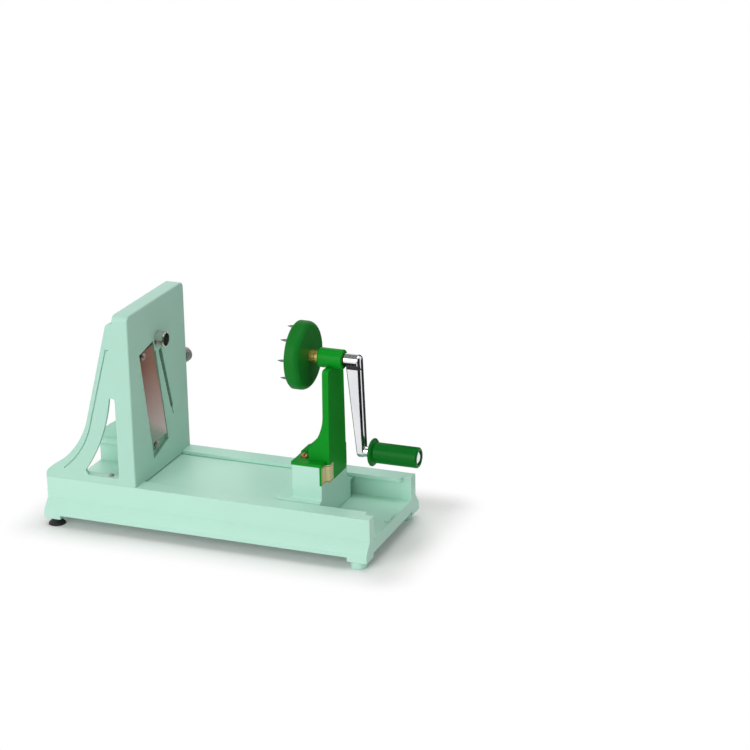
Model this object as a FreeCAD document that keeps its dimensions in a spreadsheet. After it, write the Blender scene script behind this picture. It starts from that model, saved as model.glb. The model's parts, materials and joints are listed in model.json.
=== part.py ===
import FreeCAD
import Part
import Sketcher
import os
import re

# Rotary vegetable slicer with a crank: base with rails, blade tower, sliding carriage.
# The frame: origin under the middle of the machine on the table, +X from the tower
# towards the crank, +Y across the rails away from the viewer, +Z up. Millimetres and degrees.

DOCUMENT = FreeCAD.newDocument("RotarySlicer")
SHEET = DOCUMENT.addObject("Spreadsheet::Sheet", "Sheet")

# Sizes: alias, value, meaning
SIZES = [
    ("base_length", 340.0, "length of the base"),
    ("rail_span", 123.0, "width over the outer rail faces"),
    ("rail_wall", 11.4, "thickness of one rail"),
    ("rail_height", 36.8, "rail top above the skirt edge"),
    ("floor_height", 12.6, "channel floor above the skirt edge"),
    ("lip_reach", 7.0, "how far the rail lip reaches over the channel"),
    ("lip_thick", 3.4, "thickness of the rail lip"),
    ("lip_setback", 9.0, "lip stops this far from the crank end"),
    ("lip_round", 3.0, "rounded end of the rail lip"),
    ("skirt_flare", 9.0, "skirt reach outside the rail"),
    ("skirt_edge", 4.0, "upright edge of the skirt"),
    ("skirt_shoulder", 15.0, "height where the skirt leaves the rail"),
    ("shell_wall", 3.0, "moulded wall thickness"),
    ("rib_pitch", 56.0, "distance between floor ribs"),
    ("rib_depth", 3.0, "depth of a floor rib"),
    ("rib_count", 5, "floor ribs"),
    ("corner_boss_length", 20.0, "corner boss at the crank end"),
    ("cup_boss_length", 17.0, "corner boss at the tower end"),
    ("corner_boss_width", 18.0, "corner boss across the base"),
    ("corner_boss_depth", 4.0, "corner boss below the skirt edge"),
    ("foot_height", 8.0, "foot below the corner boss"),
    ("foot_diameter", 16.0, "plain foot"),
    ("foot_chamfer", 0.8, "lower edge of a plain foot"),
    ("foot_draft", 0.4, "taper of a plain foot"),
    ("foot_end_inset", 11.5, "plain foot centre from the crank end"),
    ("foot_side_inset", 9.2, "plain foot centre from the skirt side"),
    ("cup_end_inset", 8.6, "suction foot centre from the tower end"),
    ("cup_side_inset", 8.8, "suction foot centre from the skirt side"),
    ("cup_diameter", 17.0, "suction cup rim"),
    ("cup_lip", 1.1, "lip of the suction cup"),
    ("cup_neck", 10.0, "suction cup neck"),
    ("cup_neck_drop", 3.6, "neck below the corner boss"),
    ("cup_hollow", 3.2, "depth of the hollow of the cup"),
    ("stem_diameter", 6.0, "stem of a foot"),
    ("stem_length", 6.0, "stem of a foot"),
    ("stem_spare", 0.6, "free depth over a stem"),
    ("fit_gap", 0.03, "radial gap of a fixed fit"),
    ("run_gap", 0.05, "radial gap of a running fit"),
    ("stop_length", 18.0, "carriage stop across the channel"),
    ("stop_width", 4.0, "carriage stop along the channel"),
    ("stop_rise", 2.5, "carriage stop above the floor"),
    ("stop_inset", 2.0, "carriage stop from the crank end"),
    ("wall_reach", 97.3, "front of the blade wall from the tower end"),
    ("wall_thick", 16.1, "blade wall thickness"),
    ("wall_rise", 173.2, "blade wall above the rails"),
    ("wall_tongue", 1.5, "blade wall tongue between the lips"),
    ("wall_corner", 6.0, "rounded top corner of the blade wall"),
    ("wall_edge", 1.6, "softened front edge of the blade wall"),
    ("tongue_gap", 0.4, "side gap of the wall tongue"),
    ("leg_thick", 9.0, "side plate of the tower"),
    ("leg_top_x", 74.6, "back of the leg at its top"),
    ("leg_top_rise", 165.0, "top of the leg above the rails"),
    ("leg_top_round", 5.0, "rounded top of the leg"),
    ("leg_waist_x", 47.7, "leg where the sweep starts"),
    ("leg_waist_rise", 62.1, "leg where the sweep starts"),
    ("leg_sweep", 87.0, "radius of the swept back of the leg"),
    ("leg_heel_x", 7.0, "leg where the sweep ends"),
    ("leg_heel_rise", 12.0, "leg where the sweep ends"),
    ("leg_heel_drop", 6.0, "upright back of the heel"),
    ("leg_heel_round", 8.0, "rounded heel"),
    ("leg_skin", 3.0, "outer skin of the hollow leg"),
    ("leg_frame", 4.0, "frame left round the hollow leg"),
    ("light_front", 79.8, "front edge of the leg opening"),
    ("light_sill", 7.2, "bottom of the leg opening above the rails"),
    ("light_top_x", 74.0, "top of the leg opening"),
    ("light_top_rise", 91.2, "top of the leg opening above the rails"),
    ("light_nose", 2.7, "fall of the top of the opening towards the wall"),
    ("light_toe_x", 43.8, "toe of the leg opening"),
    ("light_toe_rise", 12.0, "toe of the leg opening above the rails"),
    ("light_toe_cut", 2.6, "slanted end of the toe"),
    ("light_sweep", 170.0, "radius of the swept side of the opening"),
    ("light_round", 2.6, "corner rounding of the leg opening"),
    ("rim_width", 4.2, "rim along the back of the leg"),
    ("rim_toe", 13.0, "run of the rim past the heel"),
    ("rim_top_x", 72.6, "top of the rim groove"),
    ("rim_top_rise", 138.8, "top of the rim groove above the rails"),
    ("rim_hook", 3.4, "turn of the rim groove at its top"),
    ("groove_width", 1.1, "rim groove"),
    ("groove_deep", 1.2, "rim groove"),
    ("web_edge", 5.0, "frame left round the hollow wall back"),
    ("web_skin", 4.0, "front skin of the hollow wall"),
    ("web_low_top", 70.0, "top of the lower right hollow"),
    ("web_low_side", 35.0, "inner side of the lower right hollow"),
    ("web_high_base", 103.0, "base of the upper right hollow"),
    ("web_high_side", 17.0, "inner side of the upper right hollow"),
    ("web_left_side", -46.0, "inner side of the left hollow"),
    ("web_left_top", 120.0, "top of the left hollow"),
    ("web_top_base", 142.0, "base of the top left hollow"),
    ("web_top_side", -14.0, "inner side of the top left hollow"),
    ("window_y", -13.05, "blade window centre"),
    ("window_rise", 76.1, "blade window centre above the rails"),
    ("window_width", 34.0, "blade window across"),
    ("window_length", 112.0, "blade window along"),
    ("window_tail", 4.0, "recess run on below the window"),
    ("window_tilt", 10.3, "lean of the blade window"),
    ("window_depth", 3.0, "recess of the window face"),
    ("ledge_end", 13.0, "ledge at each end of the window"),
    ("ledge_side", 7.0, "ledge under the heel of the blade"),
    ("ring_guard", 1.3, "wall kept round the coring ring seat"),
    ("blade_skew", 1.4, "blade turned against its window"),
    ("blade_angle", 10.0, "slope of the blade to the wall"),
    ("blade_thick", 1.2, "blade thickness"),
    ("blade_heel", 14.6, "blade heel from the window centre"),
    ("blade_edge", 13.2, "cutting edge from the window centre"),
    ("blade_proud", 0.8, "cutting edge in front of the wall"),
    ("blade_bevel", 5.0, "ground bevel"),
    ("blade_high", 53.5, "upper blade end from the window centre"),
    ("blade_low", 47.8, "lower blade end from the window centre"),
    ("seat_gap", 0.05, "gap under the blade"),
    ("seat_spare", 0.8, "free room round the blade"),
    ("blade_screw_side", -4.7, "blade screw across the window"),
    ("blade_screw_end", 4.5, "upper blade screw from the blade end"),
    ("blade_bite", 0.9, "lower screw head over the blade end"),
    ("blade_screw", 3.4, "blade screw shank"),
    ("blade_screw_head", 7.2, "blade screw head"),
    ("blade_screw_rise", 1.9, "blade screw head height"),
    ("blade_screw_reach", 6.0, "blade screw below the blade"),
    ("blade_screw_slack", 0.25, "radial gap of the screw in the blade"),
    ("slot_width", 1.2, "drive slot of a screw"),
    ("slot_deep", 0.8, "drive slot of a screw"),
    ("axis_height", 169.8, "spindle axis above the skirt edge"),
    ("ring_outer", 15.6, "coring ring outside"),
    ("ring_wall", 1.5, "coring ring wall"),
    ("ring_proud", 9.7, "coring ring in front of the wall"),
    ("ring_edge", 0.9, "ground edge of the coring ring"),
    ("comb_y", 14.6, "comb slot centre"),
    ("comb_rise", 87.5, "comb slot centre above the rails"),
    ("comb_tilt", 16.6, "lean of the comb slot"),
    ("comb_mouth", 6.6, "wide mouth of the comb slot at its top"),
    ("comb_mouth_low", 5.0, "wide mouth of the comb slot at its foot"),
    ("comb_mouth_length", 70.0, "wide mouth of the comb slot"),
    ("comb_mouth_depth", 5.0, "wide mouth of the comb slot"),
    ("comb_thick", 1.2, "comb blade thickness"),
    ("comb_gap", 0.15, "side gap of the comb blade"),
    ("comb_length", 78.0, "comb blade along the slot"),
    ("comb_shift", 3.8, "comb blade below the middle of the mouth"),
    ("comb_end_gap", 0.4, "end gap of the comb blade"),
    ("comb_depth", 10.0, "comb blade without its teeth"),
    ("comb_sunk", 0.6, "teeth behind the wall face at rest"),
    ("tooth_rise", 3.6, "comb tooth height"),
    ("tooth_width", 2.0, "comb tooth width"),
    ("tooth_count", 12, "comb teeth"),
    ("tooth_pitch", 5.0, "comb tooth spacing"),
    ("tooth_root", 0.4, "tooth foot inside the comb"),
    ("clamp_inset", 4.8, "clamp axis behind the wall face"),
    ("clamp_rise", 94.2, "clamp axis above the rails"),
    ("clamp_shank", 4.0, "clamp screw shank"),
    ("clamp_bore_gap", 0.1, "radial gap of the clamp screw in the wall"),
    ("clamp_tip", 1.2, "clamp screw tip"),
    ("clamp_cone", 2.0, "clamp screw point"),
    ("clamp_stand", 0.75, "clamp tip from the comb"),
    ("clamp_insert_outer", 6.4, "clamp insert"),
    ("clamp_insert_length", 10.0, "clamp insert"),
    ("clamp_knob", 14.5, "clamp knob"),
    ("clamp_knob_length", 7.4, "clamp knob"),
    ("clamp_knob_gap", 1.2, "clamp knob from the wall side"),
    ("clamp_knob_bevel", 1.0, "clamp knob edge"),
    ("tower_screw", 3.0, "tower screw shank"),
    ("tower_screw_head", 5.2, "tower screw head"),
    ("tower_screw_rise", 2.0, "tower screw head"),
    ("tower_screw_reach", 9.0, "tower screw below the rail top"),
    ("tower_screw_boss", 8.0, "screw boss in the rail"),
    ("tower_screw_rear", 31.0, "rear tower screw from the tower end"),
    ("tower_screw_front", 69.0, "front tower screw from the tower end"),
    ("carriage_reach", 280.0, "crank end of the carriage at rest from the tower end"),
    ("carriage_length", 190.0, "carriage plate"),
    ("carriage_top", 34.0, "carriage plate top above the skirt edge"),
    ("plate_width", 81.0, "carriage plate"),
    ("plate_thick", 4.0, "carriage plate"),
    ("tongue_thick", 3.0, "carriage tongue under the lip"),
    ("glide_gap", 0.4, "carriage gap under the lip and over the floor"),
    ("tongue_side_gap", 0.6, "carriage tongue from the rail"),
    ("runner_wall", 3.0, "carriage runner"),
    ("end_wall", 3.0, "carriage end wall"),
    ("block_length", 31.0, "carriage block"),
    ("block_width", 64.0, "carriage block"),
    ("block_top", 70.0, "carriage block top above the skirt edge"),
    ("block_wall", 3.6, "carriage block wall"),
    ("block_flare", 2.6, "swept foot of the carriage block"),
    ("block_round", 2.0, "upright edges of the carriage block"),
    ("plinth_length", 48.5, "raised plinth of the block"),
    ("plinth_width", 74.0, "raised plinth of the block"),
    ("plinth_rise", 2.2, "raised plinth above the plate"),
    ("plinth_round", 8.0, "corner of the raised plinth"),
    ("plinth_edge", 1.5, "softened edge of the raised plinth"),
    ("apron_thick", 2.0, "arm apron"),
    ("apron_drop", 18.5, "arm apron below the block top"),
    ("flange_thick", 3.0, "arm flange"),
    ("flange_edge", 0.8, "softened flange edge"),
    ("post_width", 42.0, "arm post across"),
    ("post_front", 4.0, "arm post past the carriage end"),
    ("post_thick", 6.5, "arm post thickness"),
    ("post_draft", 2.2, "taper of the arm post on each side"),
    ("post_rise", 93.0, "arm post above the block top"),
    ("post_shoulder", 3.5, "rounded arm shoulder"),
    ("sweep_radius", 46.0, "swept back of the arm"),
    ("sweep_top", 48.0, "start of the sweep above the block top"),
    ("sweep_foot", 5.4, "end of the sweep above the block top"),
    ("barrel_outer", 19.0, "arm bearing barrel"),
    ("barrel_rear", 12.0, "barrel behind the carriage end"),
    ("barrel_front", 13.0, "barrel past the carriage end"),
    ("barrel_edge", 1.5, "softened barrel edge"),
    ("arm_screw_inset", 23.0, "arm screw from the carriage end"),
    ("arm_screw_pitch", 30.0, "distance of the arm screws"),
    ("arm_screw_well", 11.0, "open notch round the arm screw"),
    ("well_round", 3.0, "inner corner of the notch"),
    ("arm_screw", 4.0, "arm screw shank"),
    ("arm_screw_head", 9.0, "arm screw head"),
    ("arm_screw_rise", 3.0, "arm screw head"),
    ("arm_slot_deep", 1.2, "drive slot of an arm screw"),
    ("arm_screw_reach", 12.0, "arm screw below the block top"),
    ("screw_post", 10.0, "screw post in the block"),
    ("screw_post_drop", 16.0, "screw post in the block"),
    ("bush_outer", 10.0, "bearing bush"),
    ("bush_length", 8.0, "bearing bush in the barrel"),
    ("bush_flange", 11.6, "bearing bush flange"),
    ("front_bush_flange", 4.0, "flange at the disc side"),
    ("rear_bush_flange", 1.0, "flange at the crank side"),
    ("spindle", 7.0, "spindle shaft"),
    ("spindle_nose", 10.5, "spindle inside the disc"),
    ("collar_length", 5.0, "disc collar"),
    ("collar_outer", 12.4, "disc collar"),
    ("end_float", 0.3, "end float of the spindle"),
    ("disc_radius", 33.0, "spike disc"),
    ("disc_thick", 14.4, "spike disc"),
    ("disc_rim", 8.2, "straight rim of the spike disc"),
    ("disc_back_radius", 29.0, "spike disc back"),
    ("disc_round", 6.9, "rounding from the rim to the back"),
    ("disc_edge", 1.2, "softened disc edge"),
    ("disc_dish", 1.0, "dish of the disc face"),
    ("disc_dish_radius", 25.0, "dish of the disc face"),
    ("spike_count", 9, "disc spikes"),
    ("spike_ring", 28.5, "radius of the spike circle"),
    ("spike_start", 95.0, "first spike from the +Y axis"),
    ("spike_diameter", 2.4, "spike"),
    ("spike_seat", 6.0, "spike inside the disc"),
    ("spike_straight", 3.2, "straight part of the spike"),
    ("spike_point", 4.1, "pointed part of the spike"),
    ("spike_tip", 0.3, "radius of the spike tip"),
    ("hub_outer", 13.0, "crank hub"),
    ("hub_length", 13.0, "crank hub"),
    ("spindle_tail", 11.0, "spindle inside the hub"),
    ("bar_top_inset", 0.9, "bar from the hub face"),
    ("bar_top_thick", 15.2, "bar at the hub"),
    ("bar_width", 11.6, "bar across"),
    ("bar_top_rise", 6.3, "bar above the spindle axis"),
    ("bar_foot_inset", 11.7, "bar foot from the hub face"),
    ("bar_foot_thick", 7.6, "bar at the grip"),
    ("bar_foot_drop", 6.1, "bar below the grip axis"),
    ("bar_end_round", 5.6, "rounded bar ends"),
    ("bar_front_edge", 3.2, "rounded crank side of the bar"),
    ("bar_back_edge", 1.4, "softened arm side of the bar"),
    ("crank_throw", 90.0, "grip axis from the spindle axis"),
    ("grip_boss_outer", 10.6, "boss for the grip axle"),
    ("grip_boss_length", 12.1, "boss for the grip axle from the bar foot back"),
    ("set_screw", 4.0, "crank set screw"),
    ("set_screw_inset", 4.0, "crank set screw from the hub face"),
    ("set_screw_sunk", 0.5, "crank set screw below the hub"),
    ("axle", 6.0, "grip axle"),
    ("axle_seat", 9.0, "grip axle inside the boss"),
    ("axle_head", 12.0, "grip axle head"),
    ("axle_head_thick", 1.6, "grip axle head"),
    ("washer_outer", 13.0, "grip washer"),
    ("washer_thick", 0.8, "grip washer"),
    ("grip_float", 0.25, "end float of the grip"),
    ("grip_length", 48.2, "grip"),
    ("grip_flange", 27.0, "grip flange"),
    ("grip_flange_thick", 3.6, "grip flange"),
    ("grip_outer", 20.0, "grip body"),
    ("grip_edge", 1.2, "softened grip edge"),
    ("grip_recess", 14.0, "recess for the axle head"),
    ("grip_recess_deep", 2.4, "recess for the axle head"),
]

for row, (alias, value, note) in enumerate(SIZES, start=1):
    SHEET.set("A%d" % row, note)
    SHEET.set("B%d" % row, str(value))
    SHEET.setAlias("B%d" % row, alias)
DOCUMENT.recompute()

ALIASES = sorted((alias for alias, value, note in SIZES), key=len, reverse=True)
ALIAS_WORD = re.compile(r"\b(" + "|".join(ALIASES) + r")\b")

# Derived levels and stations, from the sizes above
CRANK_REACH = "(rear_bush_flange + end_float + bar_foot_inset + grip_boss_length)"
GRIP_REACH = "(washer_thick + grip_float + grip_length)"
OVERALL_LENGTH = "(carriage_reach + barrel_front + %s + %s)" % (CRANK_REACH, GRIP_REACH)
REAR_END = "(-%s/2)" % OVERALL_LENGTH
SKIRT_Z = "(foot_height + corner_boss_depth)"
RAIL_TOP_Z = "(foot_height + corner_boss_depth + rail_height)"
BLOCK_TOP_Z = "(foot_height + corner_boss_depth + block_top)"
AXIS_Z = "(foot_height + corner_boss_depth + axis_height)"
GRIP_Z = "(foot_height + corner_boss_depth + axis_height - crank_throw)"
WALL_X = "(%s + wall_reach)" % REAR_END
CARRIAGE_X = "(%s + carriage_reach)" % REAR_END
BARREL_REAR_X = "(%s - barrel_rear)" % CARRIAGE_X
BARREL_FRONT_X = "(%s + barrel_front)" % CARRIAGE_X
COLLAR_X = "(%s - front_bush_flange - end_float - collar_length)" % BARREL_REAR_X
DISC_X = "(%s - disc_thick)" % COLLAR_X
HUB_X = "(%s + rear_bush_flange + end_float)" % BARREL_FRONT_X
BOSS_END_X = "(%s + bar_foot_inset + grip_boss_length)" % HUB_X
GRIP_X = "(%s + washer_thick + grip_float)" % BOSS_END_X
SKIRT_SIDE = "(rail_span/2 + skirt_flare)"
RAIL_SIDE = "(rail_span/2)"
CHANNEL_SIDE = "(rail_span/2 - rail_wall)"
LIP_SIDE = "(rail_span/2 - rail_wall - lip_reach)"
RING_RISE = "(axis_height - rail_height)"

X_AXIS = FreeCAD.Vector(1, 0, 0)
Y_AXIS = FreeCAD.Vector(0, 1, 0)
Z_AXIS = FreeCAD.Vector(0, 0, 1)
NEAR = 0.02
ZERO = 1e-9
PARALLEL = 0.9999
EDGE_SAMPLES = 5
FULL_TURN = 360.0
QUARTER_TURN = 90.0
HEAD_SIDE = 0.5
HEAD_CROWN = 0.6


def qualified(expression):
    return ALIAS_WORD.sub(r"Sheet.\1", str(expression))


def number(expression):
    return float(SHEET.evalExpression(qualified(expression)))


def bind(target, name, expression):
    target.setExpression(name, qualified(expression))


def place(target, x="0", y="0", z="0"):
    bind(target, "Placement.Base.x", x)
    bind(target, "Placement.Base.y", y)
    bind(target, "Placement.Base.z", z)


def place_turned(target, x, y, z, *turns):
    rotations = []
    for axis, angle in turns:
        rotations.append("rotation(vector(%d; %d; %d); %s)" % (axis.x, axis.y, axis.z, angle))
    bind(target, "Placement", "placement(vector(%s; %s; %s); %s)" % (x, y, z, " * ".join(rotations)))


def new_body(label, x="0", y="0", z="0"):
    body = DOCUMENT.addObject("PartDesign::Body", label)
    body.Label = label
    place(body, x, y, z)
    return body


def new_sketch(body, name, role, offset=("0", "0", "0"), turn=None):
    sketch = body.newObject("Sketcher::SketchObject", name)
    planes = [item for item in body.Origin.OriginFeatures if item.Role == role]
    sketch.AttachmentSupport = [(planes[0], "")]
    sketch.MapMode = "FlatFace"
    if turn:
        axis, angle = turn
        sketch.AttachmentOffset = FreeCAD.Placement(FreeCAD.Vector(), FreeCAD.Rotation(axis, 1.0))
        bind(sketch, "AttachmentOffset.Rotation.Angle", angle)
    for letter, expression in zip("xyz", offset):
        if expression != "0":
            bind(sketch, "AttachmentOffset.Base." + letter, expression)
    return sketch


def fix_point(sketch, element, end, x, y):
    for kind, expression, axis_line in (("DistanceX", x, -2), ("DistanceY", y, -1)):
        value = number(expression)
        if abs(value) < ZERO:
            sketch.addConstraint(Sketcher.Constraint("PointOnObject", element, end, axis_line))
            continue
        index = sketch.addConstraint(Sketcher.Constraint(kind, -1, 1, element, end, value))
        bind(sketch, "Constraints[%d]" % index, expression)


def arc_between(first, last, radius, side):
    chord = last - first
    middle = (first + last) * 0.5
    reach = (radius * radius - chord.Length * chord.Length / 4.0) ** 0.5
    normal = Z_AXIS.cross(chord).normalize()
    centre = middle + normal * (reach * side)
    bulge = centre - normal * (radius * side)
    if side > 0:
        return Part.Arc(first, bulge, last)
    return Part.Arc(last, bulge, first)


# A closed outline: each corner is (x, y) and a corner that starts an arc is (x, y, radius, side)
def outline(sketch, corners):
    points = [FreeCAD.Vector(number(corner[0]), number(corner[1]), 0) for corner in corners]
    elements = []
    for index, corner in enumerate(corners):
        first = points[index]
        last = points[(index + 1) % len(points)]
        if len(corner) == 2:
            elements.append((sketch.addGeometry(Part.LineSegment(first, last), False), 1, 2))
            continue
        arc = arc_between(first, last, number(corner[2]), corner[3])
        element = sketch.addGeometry(arc, False)
        elements.append((element, 1, 2) if corner[3] > 0 else (element, 2, 1))
    for index, (element, start, end) in enumerate(elements):
        following = elements[(index + 1) % len(elements)]
        sketch.addConstraint(Sketcher.Constraint("Coincident", element, end, following[0], following[1]))
    for (element, start, end), corner in zip(elements, corners):
        fix_point(sketch, element, start, corner[0], corner[1])
        if len(corner) > 2:
            index = sketch.addConstraint(Sketcher.Constraint("Radius", element, number(corner[2])))
            bind(sketch, "Constraints[%d]" % index, corner[2])
    return sketch


def circles(sketch, centres, diameter):
    for x, y in centres:
        centre = FreeCAD.Vector(number(x), number(y), 0)
        ring = Part.Circle(centre, Z_AXIS, number(diameter) / 2.0)
        element = sketch.addGeometry(ring, False)
        fix_point(sketch, element, 3, x, y)
        index = sketch.addConstraint(Sketcher.Constraint("Diameter", element, number(diameter)))
        bind(sketch, "Constraints[%d]" % index, diameter)
    return sketch


def rectangle(x_low, x_high, y_low, y_high):
    return [(x_low, y_low), (x_high, y_low), (x_high, y_high), (x_low, y_high)]


def mirrored(corners):
    return corners + [("-(%s)" % x, y) for x, y in reversed(corners)]


def grow(kind, body, sketch, length, both_ways, reverse):
    before = body.Shape.Volume if body.Tip else 0.0
    feature = body.newObject("PartDesign::" + kind, kind)
    feature.Profile = sketch
    bind(feature, "Length", length)
    if both_ways:
        feature.SideType = "Symmetric"
    feature.Reversed = reverse
    sketch.Visibility = False
    DOCUMENT.recompute()
    change = body.Shape.Volume - before
    if (kind == "Pad" and change <= 0) or (kind == "Pocket" and change >= 0):
        raise RuntimeError("%s of %s changes nothing: %s" % (kind, body.Label, sketch.Label))
    return feature


def pad(body, sketch, length, both_ways=False, reverse=False):
    return grow("Pad", body, sketch, length, both_ways, reverse)


def pocket(body, sketch, length, both_ways=False, reverse=False):
    return grow("Pocket", body, sketch, length, both_ways, reverse)


def turned(body, sketch, axis="H_Axis"):
    feature = body.newObject("PartDesign::Revolution", "Revolution")
    feature.Profile = sketch
    feature.ReferenceAxis = (sketch, [axis])
    feature.Angle = FULL_TURN
    sketch.Visibility = False
    DOCUMENT.recompute()
    return feature


def soften(body, radius, chooser, kind="Fillet"):
    base = body.Tip
    names = []
    for index, edge in enumerate(base.Shape.Edges, start=1):
        if chooser(edge):
            names.append("Edge%d" % index)
    if not names:
        raise RuntimeError("no edge to soften on %s" % body.Label)
    feature = body.newObject("PartDesign::" + kind, kind)
    feature.Base = (base, names)
    bind(feature, "Radius" if kind == "Fillet" else "Size", radius)
    DOCUMENT.recompute()
    return feature


def runs_along(edge, axis):
    if edge.Curve.TypeId != "Part::GeomLine":
        return False
    return abs(edge.Curve.Direction.dot(axis)) > PARALLEL


def edge_at(edge, x=None, y=None, z=None):
    for point in edge.discretize(EDGE_SAMPLES):
        for value, wanted in ((point.x, x), (point.y, y), (point.z, z)):
            if wanted is not None and abs(value - wanted) > NEAR:
                return False
    return True


def is_ring(edge, diameter):
    if edge.Curve.TypeId != "Part::GeomCircle":
        return False
    return abs(edge.Curve.Radius - number(diameter) / 2.0) < NEAR


# A screw as (station, radius): shank below its seat, pan head above it
def pan_screw(tip, seat, shank, head, rise):
    return [
        (tip, "0"),
        (tip, shank + "/2"),
        (seat, shank + "/2"),
        (seat, head + "/2"),
        ("%s + %s*%s" % (seat, rise, HEAD_SIDE), head + "/2"),
        ("%s + %s" % (seat, rise), "%s/2*%s" % (head, HEAD_CROWN)),
        ("%s + %s" % (seat, rise), "0"),
    ]


def upright(corners):
    return [(across, along) for along, across in corners]


# A turned piece about the X line of its own origin: corners are (station, radius)
def lathe(label, x, y, z, corners):
    body = new_body(label, x, y, z)
    sketch = new_sketch(body, label + "_profile", "XZ_Plane")
    outline(sketch, corners)
    turned(body, sketch)
    return body


def group(label, members):
    compound = DOCUMENT.addObject("Part::Compound", label)
    compound.Label = label
    compound.Links = members
    DOCUMENT.recompute()
    return compound


# Base: two lipped rails on a flared skirt, hollow from below
base = new_body("base_frame", REAR_END, "0", SKIRT_Z)
section = new_sketch(base, "base_section", "YZ_Plane")
outline(section, mirrored([
    ("-" + SKIRT_SIDE, "0"),
    ("-" + SKIRT_SIDE, "skirt_edge"),
    ("-" + RAIL_SIDE, "skirt_shoulder"),
    ("-" + RAIL_SIDE, "rail_height"),
    ("-" + LIP_SIDE, "rail_height"),
    ("-" + LIP_SIDE, "rail_height - lip_thick"),
    ("-" + CHANNEL_SIDE, "rail_height - lip_thick"),
    ("-" + CHANNEL_SIDE, "floor_height"),
]))
pad(base, section, "base_length")
hollow = new_sketch(base, "base_hollow", "YZ_Plane", ("0", "0", "shell_wall"))
outline(hollow, mirrored([
    ("-%s + shell_wall" % SKIRT_SIDE, "-shell_wall"),
    ("-%s + shell_wall" % SKIRT_SIDE, "skirt_edge - shell_wall/4"),
    ("-%s + shell_wall" % RAIL_SIDE, "skirt_shoulder - shell_wall/4"),
    ("-%s + shell_wall" % RAIL_SIDE, "rail_height - shell_wall"),
    ("-%s - shell_wall" % CHANNEL_SIDE, "rail_height - shell_wall"),
    ("-%s - shell_wall" % CHANNEL_SIDE, "floor_height - shell_wall"),
]))
pocket(base, hollow, "base_length - 2*shell_wall", reverse=True)

ribs = new_sketch(base, "floor_ribs", "XY_Plane", ("0", "0", "floor_height - shell_wall - rib_depth"))
for index in range(1, int(number("rib_count")) + 1):
    outline(ribs, rectangle("%d*rib_pitch - shell_wall/2" % index, "%d*rib_pitch + shell_wall/2" % index,
                            "-%s" % CHANNEL_SIDE, CHANNEL_SIDE))
pad(base, ribs, "rib_depth + shell_wall/2")

bosses = new_sketch(base, "corner_bosses", "XY_Plane", ("0", "0", "-corner_boss_depth"))
for low, high in (("0", "cup_boss_length"), ("base_length - corner_boss_length", "base_length")):
    for sign in ("-", ""):
        outline(bosses, rectangle(low, high, "%s%s" % (sign, SKIRT_SIDE),
                                  "%s(%s - corner_boss_width)" % (sign, SKIRT_SIDE)))
pad(base, bosses, "corner_boss_depth + skirt_edge")

cup_y = "(%s - cup_side_inset)" % SKIRT_SIDE
foot_y = "(%s - foot_side_inset)" % SKIRT_SIDE
CUP_STATIONS = [("cup_end_inset", "-" + cup_y), ("cup_end_inset", cup_y)]
foot_x = "(base_length - foot_end_inset)"
FOOT_STATIONS = [(foot_x, "-" + foot_y), (foot_x, foot_y)]
stems = new_sketch(base, "foot_holes", "XY_Plane", ("0", "0", "-corner_boss_depth"))
circles(stems, CUP_STATIONS + FOOT_STATIONS, "stem_diameter + 2*fit_gap")
pocket(base, stems, "stem_length + stem_spare", reverse=True)

lip_end = new_sketch(base, "lip_end", "XY_Plane", ("0", "0", "rail_height"))
outline(lip_end, rectangle("base_length - lip_setback", "base_length + lip_setback",
                           "-" + CHANNEL_SIDE, CHANNEL_SIDE))
pocket(base, lip_end, "lip_thick")

stop = new_sketch(base, "carriage_stop", "XY_Plane", ("0", "0", "floor_height"))
outline(stop, rectangle("base_length - stop_inset - stop_width", "base_length - stop_inset",
                        "-stop_length/2", "stop_length/2"))
pad(base, stop, "stop_rise")

rail_middle = "(rail_span/2 - rail_wall/2)"
TOWER_SCREWS = []
for station in ("tower_screw_rear", "tower_screw_front"):
    for sign in ("-", ""):
        TOWER_SCREWS.append((station, sign + rail_middle))
boss_foot = "(rail_height - tower_screw_reach - shell_wall)"
screw_bosses = new_sketch(base, "tower_screw_bosses", "XY_Plane", ("0", "0", boss_foot))
circles(screw_bosses, TOWER_SCREWS, "tower_screw_boss")
pad(base, screw_bosses, "rail_height - shell_wall/2 - " + boss_foot)
screw_holes = new_sketch(base, "tower_screw_holes", "XY_Plane", ("0", "0", "rail_height"))
circles(screw_holes, TOWER_SCREWS, "tower_screw + 2*fit_gap")
pocket(base, screw_holes, "tower_screw_reach + stem_spare")

lip_stop = number("base_length - lip_setback")
lip_side = number(LIP_SIDE)
soften(base, "lip_round", lambda edge: runs_along(edge, Z_AXIS) and edge_at(edge, x=lip_stop)
       and abs(abs(edge.CenterOfMass.y) - lip_side) < NEAR)
soften(base, "stop_rise/3", lambda edge: edge_at(edge, z=number("floor_height + stop_rise")))

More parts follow.
